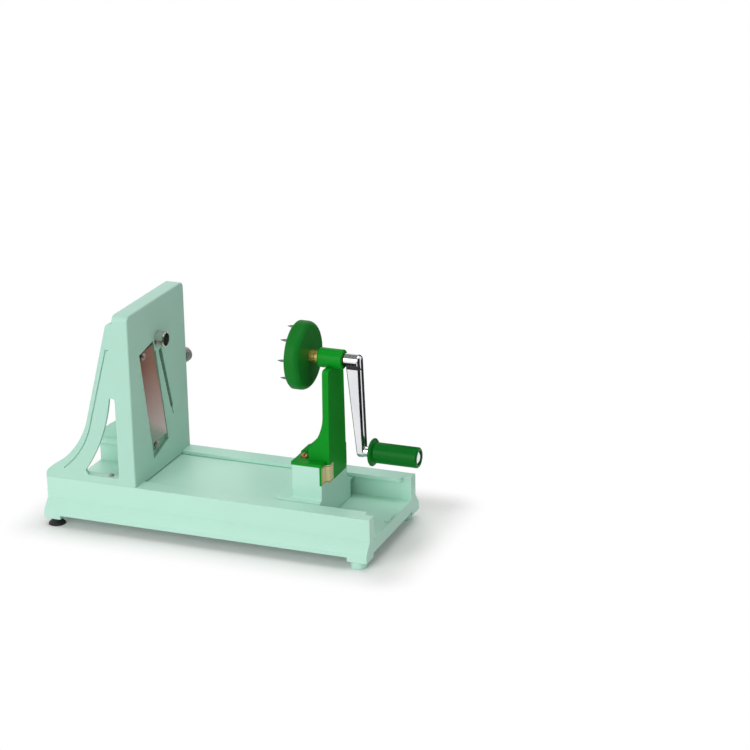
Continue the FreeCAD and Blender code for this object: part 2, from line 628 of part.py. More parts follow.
# Tower: blade wall across the rails with two swept side legs
tower = new_body("blade_tower", REAR_END, "0", RAIL_TOP_Z)
wall_back = "(wall_reach - wall_thick)"
wall = new_sketch(tower, "wall_outline", "YZ_Plane", ("0", "0", wall_back))
outline(wall, mirrored([
    ("-%s + tongue_gap" % LIP_SIDE, "-wall_tongue"),
    ("-%s + tongue_gap" % LIP_SIDE, "0"),
    ("-" + RAIL_SIDE, "0"),
    ("-" + RAIL_SIDE, "wall_rise"),
]))
pad(tower, wall, "wall_thick")
LEG = [
    (wall_back + " + web_skin", "0"),
    (wall_back + " + web_skin", "leg_top_rise"),
    ("leg_top_x", "leg_top_rise"),
    ("leg_waist_x", "leg_waist_rise", "leg_sweep", -1),
    ("leg_heel_x", "leg_heel_rise"),
    ("0", "leg_heel_rise - leg_heel_drop"),
    ("0", "0"),
]
for name, side in (("near_leg", "%s - leg_thick" % RAIL_SIDE), ("far_leg", "-" + RAIL_SIDE)):
    leg = new_sketch(tower, name, "XZ_Plane", ("0", "0", side))
    outline(leg, LEG)
    pad(tower, leg, "leg_thick")
light = new_sketch(tower, "leg_lights", "XZ_Plane")
LIGHT = [
    ("light_front", "light_sill"),
    ("light_front", "light_top_rise - light_nose"),
    ("light_top_x", "light_top_rise", "light_sweep", -1),
    ("light_toe_x", "light_toe_rise"),
    ("light_toe_x + light_toe_cut", "light_sill"),
]
outline(light, LIGHT)
pocket(tower, light, "2*rail_span", both_ways=True)
LEG_HOLLOW = [
    (wall_back, "light_sill"),
    (wall_back, "leg_top_rise - leg_frame"),
    ("leg_top_x + leg_frame", "leg_top_rise - leg_frame"),
    ("leg_waist_x + leg_frame", "leg_waist_rise", "leg_sweep", -1),
    ("leg_heel_x + rim_toe", "light_sill"),
]
inner_side = "(%s - leg_thick)" % RAIL_SIDE
for name, side, outwards in (("near_hollow", inner_side, True), ("far_hollow", "-" + inner_side, False)):
    leg_hollow = new_sketch(tower, name, "XZ_Plane", ("0", "0", side))
    outline(leg_hollow, LEG_HOLLOW)
    pocket(tower, leg_hollow, "leg_thick - leg_skin", reverse=outwards)
RIM_GROOVE = [
    ("rim_top_x", "rim_top_rise"),
    ("leg_waist_x + rim_width", "leg_waist_rise", "leg_sweep", -1),
    ("leg_heel_x + rim_toe", "leg_heel_rise"),
    ("leg_heel_x + rim_toe + groove_width/2", "leg_heel_rise - groove_width", "leg_sweep", 1),
    ("leg_waist_x + rim_width + groove_width", "leg_waist_rise"),
    ("rim_top_x + groove_width", "rim_top_rise - groove_width"),
    ("rim_top_x + rim_hook", "rim_top_rise - groove_width"),
    ("rim_top_x + rim_hook", "rim_top_rise"),
]
for name, side, inwards in (("near_rim", RAIL_SIDE, False), ("far_rim", "-" + RAIL_SIDE, True)):
    rim = new_sketch(tower, name, "XZ_Plane", ("0", "0", side))
    outline(rim, RIM_GROOVE)
    pocket(tower, rim, "groove_deep", reverse=inwards)

web_deep = "(wall_thick - web_skin)"
web_side = "(%s - web_edge/2)" % inner_side
web_top = "(wall_rise - web_edge)"
hollows = new_sketch(tower, "wall_hollows", "YZ_Plane", ("0", "0", wall_back))
outline(hollows, rectangle("web_low_side", web_side, "web_edge", "web_low_top"))
outline(hollows, rectangle("web_high_side", web_side, "web_high_base", web_top))
outline(hollows, rectangle("-" + web_side, "web_left_side + web_edge", "web_edge", "web_left_top"))
outline(hollows, rectangle("-" + web_side, "web_top_side", "web_top_base", web_top))
pocket(tower, hollows, web_deep, reverse=True)

# Blade window: a shallow tilted recess with a through slot and a sloped seat
face = "wall_reach"
window_place = ("window_y", "window_rise", face)
window_turn = (Z_AXIS, "window_tilt")
ring_room = "(ring_outer/2 + ring_guard)"
ring_u = "((-window_y)*cos(window_tilt) + (%s - window_rise)*sin(window_tilt))" % RING_RISE
ring_v = "(window_y*sin(window_tilt) + (%s - window_rise)*cos(window_tilt))" % RING_RISE
under_ring = "(%s - %s)" % (ring_v, ring_room)
window = new_sketch(tower, "window_recess", "YZ_Plane", window_place, window_turn)
outline(window, [
    ("-window_width/2", "-window_length/2 - window_tail"),
    ("window_width/2", "-window_length/2"),
    ("window_width/2", under_ring),
    ("%s - %s" % (ring_u, ring_room), under_ring),
    ("%s - %s" % (ring_u, ring_room), "window_length/2"),
    ("-window_width/2", "window_length/2"),
])
pocket(tower, window, "window_depth")
slot = new_sketch(tower, "window_slot", "YZ_Plane", window_place, window_turn)
outline(slot, rectangle("-window_width/2 + ledge_side", "window_width/2", "-window_length/2 + ledge_end",
                        under_ring + " - ring_guard"))
pocket(tower, slot, "wall_thick + window_depth")
blade_tilt = "(window_tilt + blade_skew)"
blade_top = "(blade_proud - (blade_edge - (%s))*tan(blade_angle))"
blade_under = blade_top + " - blade_thick/cos(blade_angle)"
blade_bottom = blade_under + " - seat_gap"
seat = new_sketch(tower, "blade_seat", "XY_Plane", (face, "window_y", "window_rise"), (X_AXIS, blade_tilt))
heel_side = "-blade_heel - seat_spare"
edge_side = "blade_edge + seat_spare"
outline(seat, [
    ("blade_proud + window_depth", heel_side),
    (blade_bottom % heel_side, heel_side),
    (blade_bottom % edge_side, edge_side),
    ("blade_proud + window_depth", edge_side),
])
pocket(tower, seat, "2*blade_high + 2*seat_spare", both_ways=True)
UPPER_SCREW = ("blade_screw_side", "(blade_high - blade_screw_end)")
LOWER_SCREW = ("blade_screw_side", "(blade_bite - blade_low - blade_screw_head/2)")
BLADE_SCREWS = [UPPER_SCREW, LOWER_SCREW]

ring_seat = new_sketch(tower, "ring_seat", "YZ_Plane", ("0", "0", face))
circles(ring_seat, [("0", RING_RISE)], "ring_outer + 2*fit_gap")
pocket(tower, ring_seat, "wall_thick")

comb_turn = (Z_AXIS, "comb_tilt")
mouth = new_sketch(tower, "comb_mouth", "YZ_Plane", ("comb_y", "comb_rise", face), comb_turn)
outline(mouth, [
    ("-comb_mouth_low/2", "-comb_mouth_length/2"),
    ("comb_mouth_low/2", "-comb_mouth_length/2"),
    ("comb_mouth/2", "comb_mouth_length/2"),
    ("-comb_mouth/2", "comb_mouth_length/2"),
])
pocket(tower, mouth, "comb_mouth_depth")
comb_slot = new_sketch(tower, "comb_slot", "YZ_Plane", ("comb_y", "comb_rise", face), comb_turn)
outline(comb_slot, rectangle("-comb_thick/2 - comb_gap", "comb_thick/2 + comb_gap",
                             "-comb_shift - comb_length/2 - comb_end_gap",
                             "-comb_shift + comb_length/2 + comb_end_gap"))
pocket(tower, comb_slot, "wall_thick")

clamp_x = "(wall_reach - clamp_inset)"
comb_face_y = "(comb_y + (comb_rise - clamp_rise)*tan(comb_tilt) + comb_thick/2/cos(comb_tilt))"
clamp_bore = new_sketch(tower, "clamp_bore", "XZ_Plane", ("0", "0", "-" + RAIL_SIDE))
circles(clamp_bore, [(clamp_x, "clamp_rise")], "clamp_shank + 2*clamp_bore_gap")
pocket(tower, clamp_bore, "%s - %s" % (RAIL_SIDE, comb_face_y), reverse=True)
insert_bore = new_sketch(tower, "insert_bore", "XZ_Plane", ("0", "0", "-" + RAIL_SIDE))
circles(insert_bore, [(clamp_x, "clamp_rise")], "clamp_insert_outer + 2*fit_gap")
pocket(tower, insert_bore, "clamp_insert_length", reverse=True)
leg_holes = new_sketch(tower, "leg_screw_holes", "XY_Plane")
circles(leg_holes, TOWER_SCREWS, "tower_screw + 2*run_gap")
pocket(tower, leg_holes, "light_sill", reverse=True)

rise = number("wall_rise")
front = number("wall_reach")
side = number(RAIL_SIDE)
corner = number("wall_corner")
soften(tower, "wall_corner", lambda edge: runs_along(edge, X_AXIS) and edge_at(edge, z=rise)
       and abs(abs(edge.BoundBox.YMin) - side) < NEAR)
soften(tower, "wall_edge", lambda edge: edge_at(edge, x=front) and edge.BoundBox.ZMin > -NEAR
       and (abs(edge.CenterOfMass.y) > side - corner/2 or edge.CenterOfMass.z > rise - corner/2))
soften(tower, "leg_top_round", lambda edge: runs_along(edge, Y_AXIS)
       and edge_at(edge, x=number("leg_top_x"), z=number("leg_top_rise")))
soften(tower, "leg_heel_round", lambda edge: runs_along(edge, Y_AXIS)
       and edge_at(edge, x=0.0, z=number("leg_heel_rise - leg_heel_drop")))
light_points = [(number(light_corner[0]), number(light_corner[1])) for light_corner in LIGHT]
soften(tower, "light_round", lambda edge: runs_along(edge, Y_AXIS)
       and any(edge_at(edge, x=x, z=z) for x, z in light_points))

# Slicing blade, in the frame of its sloped seat
blade = new_body("slicing_blade")
place_turned(blade, WALL_X, "window_y", RAIL_TOP_Z + " + window_rise", (X_AXIS, blade_tilt))
strip = new_sketch(blade, "blade_section", "XY_Plane", ("0", "0", "-blade_low"))
outline(strip, [
    (blade_top % "blade_edge", "blade_edge"),
    (blade_top % "-blade_heel", "-blade_heel"),
    (blade_under % "-blade_heel", "-blade_heel"),
    (blade_under % "blade_edge - blade_bevel", "blade_edge - blade_bevel"),
])
pad(blade, strip, "blade_low + blade_high")
blade_holes = new_sketch(blade, "blade_holes", "YZ_Plane")
circles(blade_holes, [UPPER_SCREW], "blade_screw + 2*blade_screw_slack")
pocket(blade, blade_holes, "4*window_depth + 2*blade_heel", both_ways=True)

# Blade screws stand square to the blade; the lower head grips the end of the blade
screw_seat = "(blade_proud - (blade_edge - blade_screw_side)*tan(blade_angle))"
blade_screws = []
for index, (u, v) in enumerate(BLADE_SCREWS):
    screw = new_body("blade_screw_%d" % index)
    y = "window_y + (%s)*cos(%s) - (%s)*sin(%s)" % (u, blade_tilt, v, blade_tilt)
    z = "%s + window_rise + (%s)*sin(%s) + (%s)*cos(%s)" % (RAIL_TOP_Z, u, blade_tilt, v, blade_tilt)
    place_turned(screw, "%s + %s" % (WALL_X, screw_seat), y, z, (X_AXIS, blade_tilt),
                 (Z_AXIS, "-blade_angle"))
    profile = new_sketch(screw, "screw_profile", "XZ_Plane")
    outline(profile, pan_screw("-blade_thick - blade_screw_reach", "0", "blade_screw", "blade_screw_head",
                               "blade_screw_rise"))
    turned(screw, profile)
    drive = new_sketch(screw, "drive_slot", "YZ_Plane", ("0", "0", "blade_screw_rise"))
    outline(drive, rectangle("-blade_screw_head", "blade_screw_head", "-slot_width/2", "slot_width/2"))
    pocket(screw, drive, "slot_deep")
    blade_screws.append(screw)
group("blade_screws", blade_screws)

# Screw holes in the sloped seat, square to the blade
seat_holes = []
for index, (u, v) in enumerate(BLADE_SCREWS):
    hole = DOCUMENT.addObject("Part::Cylinder", "seat_hole_%d" % index)
    bind(hole, "Radius", "blade_screw/2 + fit_gap")
    bind(hole, "Height", "blade_thick + blade_screw_reach + stem_spare")
    y = "window_y + (%s)*cos(%s) - (%s)*sin(%s)" % (u, blade_tilt, v, blade_tilt)
    z = "%s + window_rise + (%s)*sin(%s) + (%s)*cos(%s)" % (RAIL_TOP_Z, u, blade_tilt, v, blade_tilt)
    place_turned(hole, "%s + %s" % (WALL_X, screw_seat), y, z, (X_AXIS, blade_tilt),
                 (Z_AXIS, "-blade_angle"), (Y_AXIS, -QUARTER_TURN))
    seat_holes.append(hole)
drills = group("seat_drills", seat_holes)
tower.Label = "tower_moulding"
drilled = DOCUMENT.addObject("Part::Cut", "drilled_tower")
drilled.Base = tower
drilled.Tool = drills
drilled.Label = "blade_tower"
DOCUMENT.recompute()

# Coring ring on the spindle axis
lathe("coring_ring", WALL_X, "0", AXIS_Z, [
    ("-wall_thick", "ring_outer/2 - ring_wall"),
    ("-wall_thick", "ring_outer/2"),
    ("ring_proud - ring_edge", "ring_outer/2"),
    ("ring_proud", "ring_outer/2 - ring_wall + ring_edge/4"),
    ("ring_proud", "ring_outer/2 - ring_wall"),
])

# Comb blade, drawn back in its slot at rest
comb = new_body("comb_blade")
place_turned(comb, WALL_X, "comb_y", RAIL_TOP_Z + " + comb_rise", (X_AXIS, "comb_tilt"))
comb_body = new_sketch(comb, "comb_strip", "XZ_Plane")
comb_front = "(-comb_sunk - tooth_rise)"
outline(comb_body, rectangle(comb_front + " - comb_depth", comb_front,
                             "-comb_shift - comb_length/2", "-comb_shift + comb_length/2"))
pad(comb, comb_body, "comb_thick", both_ways=True)
tooth = new_sketch(comb, "comb_tooth", "XZ_Plane")
first_tooth = "(-(tooth_count - 1)*tooth_pitch/2)"
outline(tooth, [
    (comb_front + " - tooth_root", first_tooth + " - tooth_width/2"),
    ("-comb_sunk - tooth_width/3", first_tooth + " - tooth_width/2"),
    ("-comb_sunk", first_tooth),
    ("-comb_sunk - tooth_width/3", first_tooth + " + tooth_width/2"),
    (comb_front + " - tooth_root", first_tooth + " + tooth_width/2"),
])
tooth_pad = pad(comb, tooth, "comb_thick", both_ways=True)
teeth = comb.newObject("PartDesign::LinearPattern", "comb_teeth")
teeth.Originals = [tooth_pad]
teeth.Direction = (tooth, ["V_Axis"])
bind(teeth, "Length", "(tooth_count - 1)*tooth_pitch")
bind(teeth, "Occurrences", "tooth_count")
comb.Tip = teeth
DOCUMENT.recompute()

# Clamp screw for the comb, turned about the Y line
clamp_z = RAIL_TOP_Z + " + clamp_rise"
clamp_at = "(%s - clamp_inset)" % WALL_X
clamp = new_body("clamp_thumbscrew", clamp_at, "0", clamp_z)
clamp_profile = new_sketch(clamp, "clamp_profile", "XY_Plane")
tip_y = "(%s + clamp_stand)" % comb_face_y
knob_y = "(%s + clamp_knob_gap)" % RAIL_SIDE
outline(clamp_profile, [
    ("0", tip_y),
    ("clamp_tip/2", tip_y),
    ("clamp_shank/2", tip_y + " + clamp_cone"),
    ("clamp_shank/2", knob_y),
    ("clamp_knob/2 - clamp_knob_bevel", knob_y),
    ("clamp_knob/2", knob_y + " + clamp_knob_bevel"),
    ("clamp_knob/2", knob_y + " + clamp_knob_length - clamp_knob_bevel"),
    ("clamp_knob/2 - clamp_knob_bevel", knob_y + " + clamp_knob_length"),
    ("0", knob_y + " + clamp_knob_length"),
])
turned(clamp, clamp_profile, "V_Axis")
insert = new_body("clamp_insert", clamp_at, "0", clamp_z)
insert_profile = new_sketch(insert, "insert_profile", "XY_Plane")
outline(insert_profile, rectangle("clamp_shank/2 + run_gap", "clamp_insert_outer/2",
                                  "%s - clamp_insert_length" % RAIL_SIDE, RAIL_SIDE))
turned(insert, insert_profile, "V_Axis")

# Tower screws, from above through the ledges of the legs into the rails
tower_screws = []
for index, (x, y) in enumerate(TOWER_SCREWS):
    screw = new_body("tower_screw_%d" % index, "%s + %s" % (REAR_END, x), y, RAIL_TOP_Z)
    profile = new_sketch(screw, "screw_profile", "XZ_Plane")
    outline(profile, upright(pan_screw("-tower_screw_reach", "light_sill", "tower_screw", "tower_screw_head",
                                       "tower_screw_rise")))
    turned(screw, profile, "V_Axis")
    drive = new_sketch(screw, "drive_slot", "XY_Plane", ("0", "0", "light_sill + tower_screw_rise"))
    outline(drive, rectangle("-tower_screw_head", "tower_screw_head", "-slot_width/2", "slot_width/2"))
    pocket(screw, drive, "slot_deep")
    tower_screws.append(screw)
group("tower_screws", tower_screws)

# Feet: suction cups at the tower end, plain feet at the crank end
cups = []
for index, (x, y) in enumerate(CUP_STATIONS):
    cup = new_body("suction_foot_%d" % index, "%s + %s" % (REAR_END, x), y, "foot_height")
    profile = new_sketch(cup, "cup_profile", "XZ_Plane")
    outline(profile, [
        ("0", "stem_length"),
        ("0", "-foot_height + cup_hollow"),
        ("cup_diameter/2 - cup_lip", "-foot_height"),
        ("cup_diameter/2", "-foot_height"),
        ("cup_diameter/2", "-foot_height + cup_lip"),
        ("cup_neck/2", "-cup_neck_drop"),
        ("cup_neck/2", "0"),
        ("stem_diameter/2", "0"),
        ("stem_diameter/2", "stem_length"),
    ])
    turned(cup, profile, "V_Axis")
    cups.append(cup)
group("suction_feet", cups)
feet = []
for index, (x, y) in enumerate(FOOT_STATIONS):
    foot = new_body("plain_foot_%d" % index, "%s + %s" % (REAR_END, x), y, "foot_height")
    profile = new_sketch(foot, "foot_profile", "XZ_Plane")
    outline(profile, [
        ("0", "stem_length"),
        ("0", "-foot_height"),
        ("foot_diameter/2 - foot_draft - foot_chamfer", "-foot_height"),
        ("foot_diameter/2 - foot_draft", "-foot_height + foot_chamfer"),
        ("foot_diameter/2", "0"),
        ("stem_diameter/2", "0"),
        ("stem_diameter/2", "stem_length"),
    ])
    turned(foot, profile, "V_Axis")
    feet.append(foot)
group("plain_feet", feet)

# Carriage: inverted tray with tongues under the lips and a hollow block
carriage = new_body("carriage", CARRIAGE_X, "0", SKIRT_Z)
slab_under = "(carriage_top - plate_thick)"
tongue_top = "(rail_height - lip_thick - glide_gap)"
tongue_side = "(%s - tongue_side_gap)" % CHANNEL_SIDE
tray = new_sketch(carriage, "tray_section", "YZ_Plane", ("0", "0", "-carriage_length"))
outline(tray, mirrored([
    ("-(plate_width/2 - runner_wall)", slab_under),
    ("-(plate_width/2 - runner_wall)", "floor_height + glide_gap"),
    ("-plate_width/2", "floor_height + glide_gap"),
    ("-plate_width/2", tongue_top + " - tongue_thick"),
    ("-" + tongue_side, tongue_top + " - tongue_thick"),
    ("-" + tongue_side, tongue_top),
    ("-plate_width/2", tongue_top),
    ("-plate_width/2", "carriage_top"),
]))
pad(carriage, tray, "carriage_length")
end_plate = new_sketch(carriage, "end_plate", "YZ_Plane")
outline(end_plate, rectangle("-plate_width/2 + runner_wall/2", "plate_width/2 - runner_wall/2",
                             "floor_height + glide_gap", "carriage_top - plate_thick/2"))
pad(carriage, end_plate, "end_wall", reverse=True)
slab_middle = "(carriage_top - plate_thick/2)"
plinth_top = "(carriage_top + plinth_rise)"
plinth = new_sketch(carriage, "plinth_outline", "XY_Plane", ("0", "0", slab_middle))
outline(plinth, rectangle("-plinth_length", "0", "-plinth_width/2", "plinth_width/2"))
pad(carriage, plinth, "%s - %s" % (plinth_top, slab_middle))
plinth_rear = number("-plinth_length")
plinth_level = number(plinth_top)
soften(carriage, "plinth_round", lambda edge: runs_along(edge, Z_AXIS) and edge_at(edge, x=plinth_rear))
soften(carriage, "plinth_edge", lambda edge: edge_at(edge, z=plinth_level) and not edge_at(edge, x=0.0))
block = new_sketch(carriage, "block_outline", "XY_Plane", ("0", "0", slab_middle))
outline(block, rectangle("-block_length", "0", "-block_width/2", "block_width/2"))
pad(carriage, block, "block_top - " + slab_middle)
block_rear = number("-block_length")
block_side = number("block_width/2")
soften(carriage, "block_round", lambda edge: runs_along(edge, Z_AXIS) and edge_at(edge, x=block_rear))
soften(carriage, "block_flare", lambda edge: edge_at(edge, z=plinth_level)
       and edge.BoundBox.XMin > block_rear - NEAR and abs(edge.CenterOfMass.y) < block_side + NEAR
       and edge.BoundBox.XMin < -NEAR)
apron_cut = new_sketch(carriage, "apron_rabbet", "XZ_Plane")
outline(apron_cut, rectangle("-apron_thick", "apron_thick",
                             "block_top - apron_drop", "block_top + apron_thick"))
pocket(carriage, apron_cut, "2*block_width", both_ways=True)
core = new_sketch(carriage, "block_core", "XY_Plane", ("0", "0", slab_under + " - plate_thick"))
outline(core, rectangle("-block_length + block_wall", "-apron_thick - block_wall",
                        "-block_width/2 + block_wall", "block_width/2 - block_wall"))
pocket(carriage, core, "block_top - block_wall - carriage_top + 2*plate_thick", reverse=True)
ARM_SCREWS = [("-arm_screw_inset", "-arm_screw_pitch/2"), ("-arm_screw_inset", "arm_screw_pitch/2")]
posts = new_sketch(carriage, "screw_posts", "XY_Plane", ("0", "0", "block_top - screw_post_drop"))
circles(posts, ARM_SCREWS, "screw_post")
pad(carriage, posts, "screw_post_drop - block_wall/2")
post_holes = new_sketch(carriage, "post_holes", "XY_Plane", ("0", "0", "block_top"))
circles(post_holes, ARM_SCREWS, "arm_screw + 2*fit_gap")
pocket(carriage, post_holes, "arm_screw_reach + stem_spare")

# Arm: flange and apron on the block, swept post and bearing barrel
arm = new_body("arm", CARRIAGE_X, "0", BLOCK_TOP_Z)
cap = new_sketch(arm, "flange_section", "XZ_Plane")
outline(cap, [
    ("-block_length", "0"),
    ("-apron_thick", "0"),
    ("-apron_thick", "-apron_drop"),
    ("0", "-apron_drop"),
    ("0", "flange_thick"),
    ("-block_length", "flange_thick"),
])
pad(arm, cap, "block_width", both_ways=True)
post = new_sketch(arm, "post_section", "XZ_Plane")
outline(post, [
    ("-block_length + flange_edge", "flange_thick/2"),
    ("0", "flange_thick/2"),
    ("0", "-apron_drop"),
    ("post_front", "-apron_drop"),
    ("post_front", "post_rise"),
    ("post_front - post_thick", "post_rise"),
    ("post_front - post_thick", "sweep_top", "sweep_radius", -1),
    ("-block_length + flange_edge", "sweep_foot"),
])
pad(arm, post, "post_width", both_ways=True)
post_taper = new_sketch(arm, "post_taper", "YZ_Plane")
for sign in ("-", ""):
    outline(post_taper, [
        (sign + "post_width/2", "flange_thick"),
        (sign + "post_width/2", "post_rise"),
        ("%s(post_width/2 - post_draft)" % sign, "post_rise"),
    ])
pocket(arm, post_taper, "4*block_length", both_ways=True)
post_top = number("post_rise")
post_shoulder_side = number("post_width/2 - post_draft")
soften(arm, "post_shoulder", lambda edge: runs_along(edge, X_AXIS) and edge_at(edge, z=post_top)
       and abs(abs(edge.CenterOfMass.y) - post_shoulder_side) < NEAR)
barrel = new_sketch(arm, "barrel", "YZ_Plane", ("0", "0", "-barrel_rear"))
barrel_rise = "(axis_height - block_top)"
circles(barrel, [("0", barrel_rise)], "barrel_outer")
pad(arm, barrel, "barrel_rear + barrel_front")
bore = new_sketch(arm, "bore", "YZ_Plane", ("0", "0", "-barrel_rear"))
circles(bore, [("0", barrel_rise)], "bush_outer + 2*fit_gap")
pocket(arm, bore, "barrel_rear + barrel_front", reverse=True)
well_front = "(arm_screw_well/2 - arm_screw_inset)"
well_inner = "(arm_screw_pitch/2 - arm_screw_well/2)"
wells = new_sketch(arm, "screw_notches", "XY_Plane", ("0", "0", "flange_thick"))
for sign, turn in (("-", 1), ("", -1)):
    outline(wells, [
        ("-block_length - flange_edge", "%sblock_width/2" % sign),
        (well_front, "%sblock_width/2" % sign),
        (well_front, "%s(%s + well_round)" % (sign, well_inner), "well_round", turn),
        (well_front + " - well_round", "%s%s" % (sign, well_inner)),
        ("-block_length - flange_edge", "%s%s" % (sign, well_inner)),
    ])
pocket(arm, wells, "sweep_top", reverse=True)
clear_holes = new_sketch(arm, "screw_clearance", "XY_Plane", ("0", "0", "flange_thick"))
circles(clear_holes, ARM_SCREWS, "arm_screw + 2*run_gap")
pocket(arm, clear_holes, "flange_thick")
barrel_back = number("-barrel_rear")
barrel_tip = number("barrel_front")
soften(arm, "barrel_edge", lambda edge: is_ring(edge, "barrel_outer")
       and (edge_at(edge, x=barrel_back) or edge_at(edge, x=barrel_tip)))

# Arm screws
arm_screws = []
for index, (x, y) in enumerate(ARM_SCREWS):
    screw = new_body("arm_screw_%d" % index, CARRIAGE_X + " + " + x, y, BLOCK_TOP_Z)
    profile = new_sketch(screw, "screw_profile", "XZ_Plane")
    outline(profile, upright(pan_screw("-arm_screw_reach", "flange_thick", "arm_screw", "arm_screw_head",
                                       "arm_screw_rise")))
    turned(screw, profile, "V_Axis")
    drive = new_sketch(screw, "drive_slot", "XY_Plane", ("0", "0", "flange_thick + arm_screw_rise"))
    outline(drive, rectangle("-slot_width/2", "slot_width/2", "-arm_screw_head", "arm_screw_head"))
    pocket(screw, drive, "arm_slot_deep")
    arm_screws.append(screw)
group("arm_screws", arm_screws)

# Bearing bushes in the barrel
spindle_bore = "spindle/2 + run_gap"
lathe("front_bush", BARREL_REAR_X, "0", AXIS_Z, [
    ("-front_bush_flange", spindle_bore),
    ("-front_bush_flange", "bush_flange/2"),
    ("0", "bush_flange/2"),
    ("0", "bush_outer/2"),
    ("bush_length", "bush_outer/2"),
    ("bush_length", spindle_bore),
])
lathe("rear_bush", BARREL_FRONT_X, "0", AXIS_Z, [
    ("-bush_length", spindle_bore),
    ("-bush_length", "bush_outer/2"),
    ("0", "bush_outer/2"),
    ("0", "bush_flange/2"),
    ("rear_bush_flange", "bush_flange/2"),
    ("rear_bush_flange", spindle_bore),
])

# Spindle with its disc, spikes and collar
spindle_start = "(%s - spindle_nose)" % COLLAR_X
spindle_end = "(%s + spindle_tail)" % HUB_X
spindle_length = "%s - %s" % (spindle_end, spindle_start)
fixed_bore = "spindle/2 + fit_gap"
lathe("spindle_shaft", spindle_start, "0", AXIS_Z, rectangle("0", spindle_length, "0", "spindle/2"))
lathe("disc_collar", COLLAR_X, "0", AXIS_Z, rectangle("0", "collar_length", fixed_bore, "collar_outer/2"))
disc = lathe("spike_disc", DISC_X, "0", AXIS_Z, [
    ("disc_dish", "0"),
    ("disc_dish", "disc_dish_radius - disc_dish"),
    ("0", "disc_dish_radius"),
    ("0", "disc_radius - disc_edge"),
    ("disc_edge", "disc_radius"),
    ("disc_rim", "disc_radius", "disc_round", -1),
    ("disc_thick", "disc_back_radius"),
    ("disc_thick", fixed_bore),
    ("disc_thick - spindle_nose - fit_gap", fixed_bore),
    ("disc_thick - spindle_nose - fit_gap", "0"),
])
SPIKES = []
for index in range(int(number("spike_count"))):
    angle = "(spike_start + %d*360/spike_count)" % index
    SPIKES.append(("spike_ring*cos(%s)" % angle, "spike_ring*sin(%s)" % angle))
spike_holes = new_sketch(disc, "spike_holes", "YZ_Plane")
circles(spike_holes, SPIKES, "spike_diameter + 2*fit_gap")
pocket(disc, spike_holes, "spike_seat + fit_gap", reverse=True)
spikes = []
for index, (y, z) in enumerate(SPIKES):
    spikes.append(lathe("disc_spike_%d" % index, DISC_X, y, "%s + %s" % (AXIS_Z, z), [
        ("-spike_straight - spike_point", "0"),
        ("-spike_straight - spike_point", "spike_tip"),
        ("-spike_straight", "spike_diameter/2"),
        ("spike_seat", "spike_diameter/2"),
        ("spike_seat", "0"),
    ]))
group("disc_spikes", spikes)

# Crank lever: hub, leaning tapered bar and boss for the grip axle
crank = new_body("crank_lever", HUB_X, "0", AXIS_Z)
bar_top = new_sketch(crank, "bar_top", "XY_Plane", ("0", "0", "bar_top_rise"))
outline(bar_top, rectangle("bar_top_inset", "bar_top_inset + bar_top_thick", "-bar_width/2", "bar_width/2"))
bar_foot = new_sketch(crank, "bar_foot", "XY_Plane", ("0", "0", "-crank_throw - bar_foot_drop"))
outline(bar_foot, rectangle("bar_foot_inset", "bar_foot_inset + bar_foot_thick",
                            "-bar_width/2", "bar_width/2"))
bar = crank.newObject("PartDesign::AdditiveLoft", "bar")
bar.Profile = bar_top
bar.Sections = [bar_foot]
bar.Ruled = True
crank.Tip = bar
DOCUMENT.recompute()
bar_top_level = number("bar_top_rise")
bar_foot_level = number("-crank_throw - bar_foot_drop")
soften(crank, "bar_end_round", lambda edge: runs_along(edge, X_AXIS)
       and (edge_at(edge, z=bar_top_level) or edge_at(edge, z=bar_foot_level)))
bar_run = number("crank_throw/2")
bar_back = number("bar_foot_inset")
soften(crank, "bar_front_edge", lambda edge: edge.Length > bar_run and edge.CenterOfMass.x > bar_back)
soften(crank, "bar_back_edge", lambda edge: edge.Length > bar_run and edge.CenterOfMass.x < bar_back)
hub = new_sketch(crank, "hub", "YZ_Plane")
circles(hub, [("0", "0")], "hub_outer")
pad(crank, hub, "hub_length")
boss = new_sketch(crank, "grip_boss", "YZ_Plane", ("0", "0", "bar_foot_inset"))
circles(boss, [("0", "-crank_throw")], "grip_boss_outer")
pad(crank, boss, "grip_boss_length")
hub_bore = new_sketch(crank, "hub_bore", "YZ_Plane")
circles(hub_bore, [("0", "0")], "spindle + 2*fit_gap")
pocket(crank, hub_bore, "spindle_tail + fit_gap", reverse=True)
axle_bore = new_sketch(crank, "axle_bore", "YZ_Plane", ("0", "0", "bar_foot_inset + grip_boss_length"))
circles(axle_bore, [("0", "-crank_throw")], "axle + 2*fit_gap")
pocket(crank, axle_bore, "axle_seat + fit_gap")
set_bore = new_sketch(crank, "set_screw_bore", "XZ_Plane", ("0", "0", "-hub_outer"))
circles(set_bore, [("set_screw_inset", "0")], "set_screw + 2*fit_gap")
pocket(crank, set_bore, "hub_outer - spindle/2", reverse=True)

set_screw = new_body("crank_set_screw", HUB_X + " + set_screw_inset", "0", AXIS_Z)
set_profile = new_sketch(set_screw, "set_profile", "XY_Plane")
set_outer = "(hub_outer/2 - set_screw_sunk)"
outline(set_profile, rectangle("0", "set_screw/2", "spindle/2 + fit_gap", set_outer))
turned(set_screw, set_profile, "V_Axis")

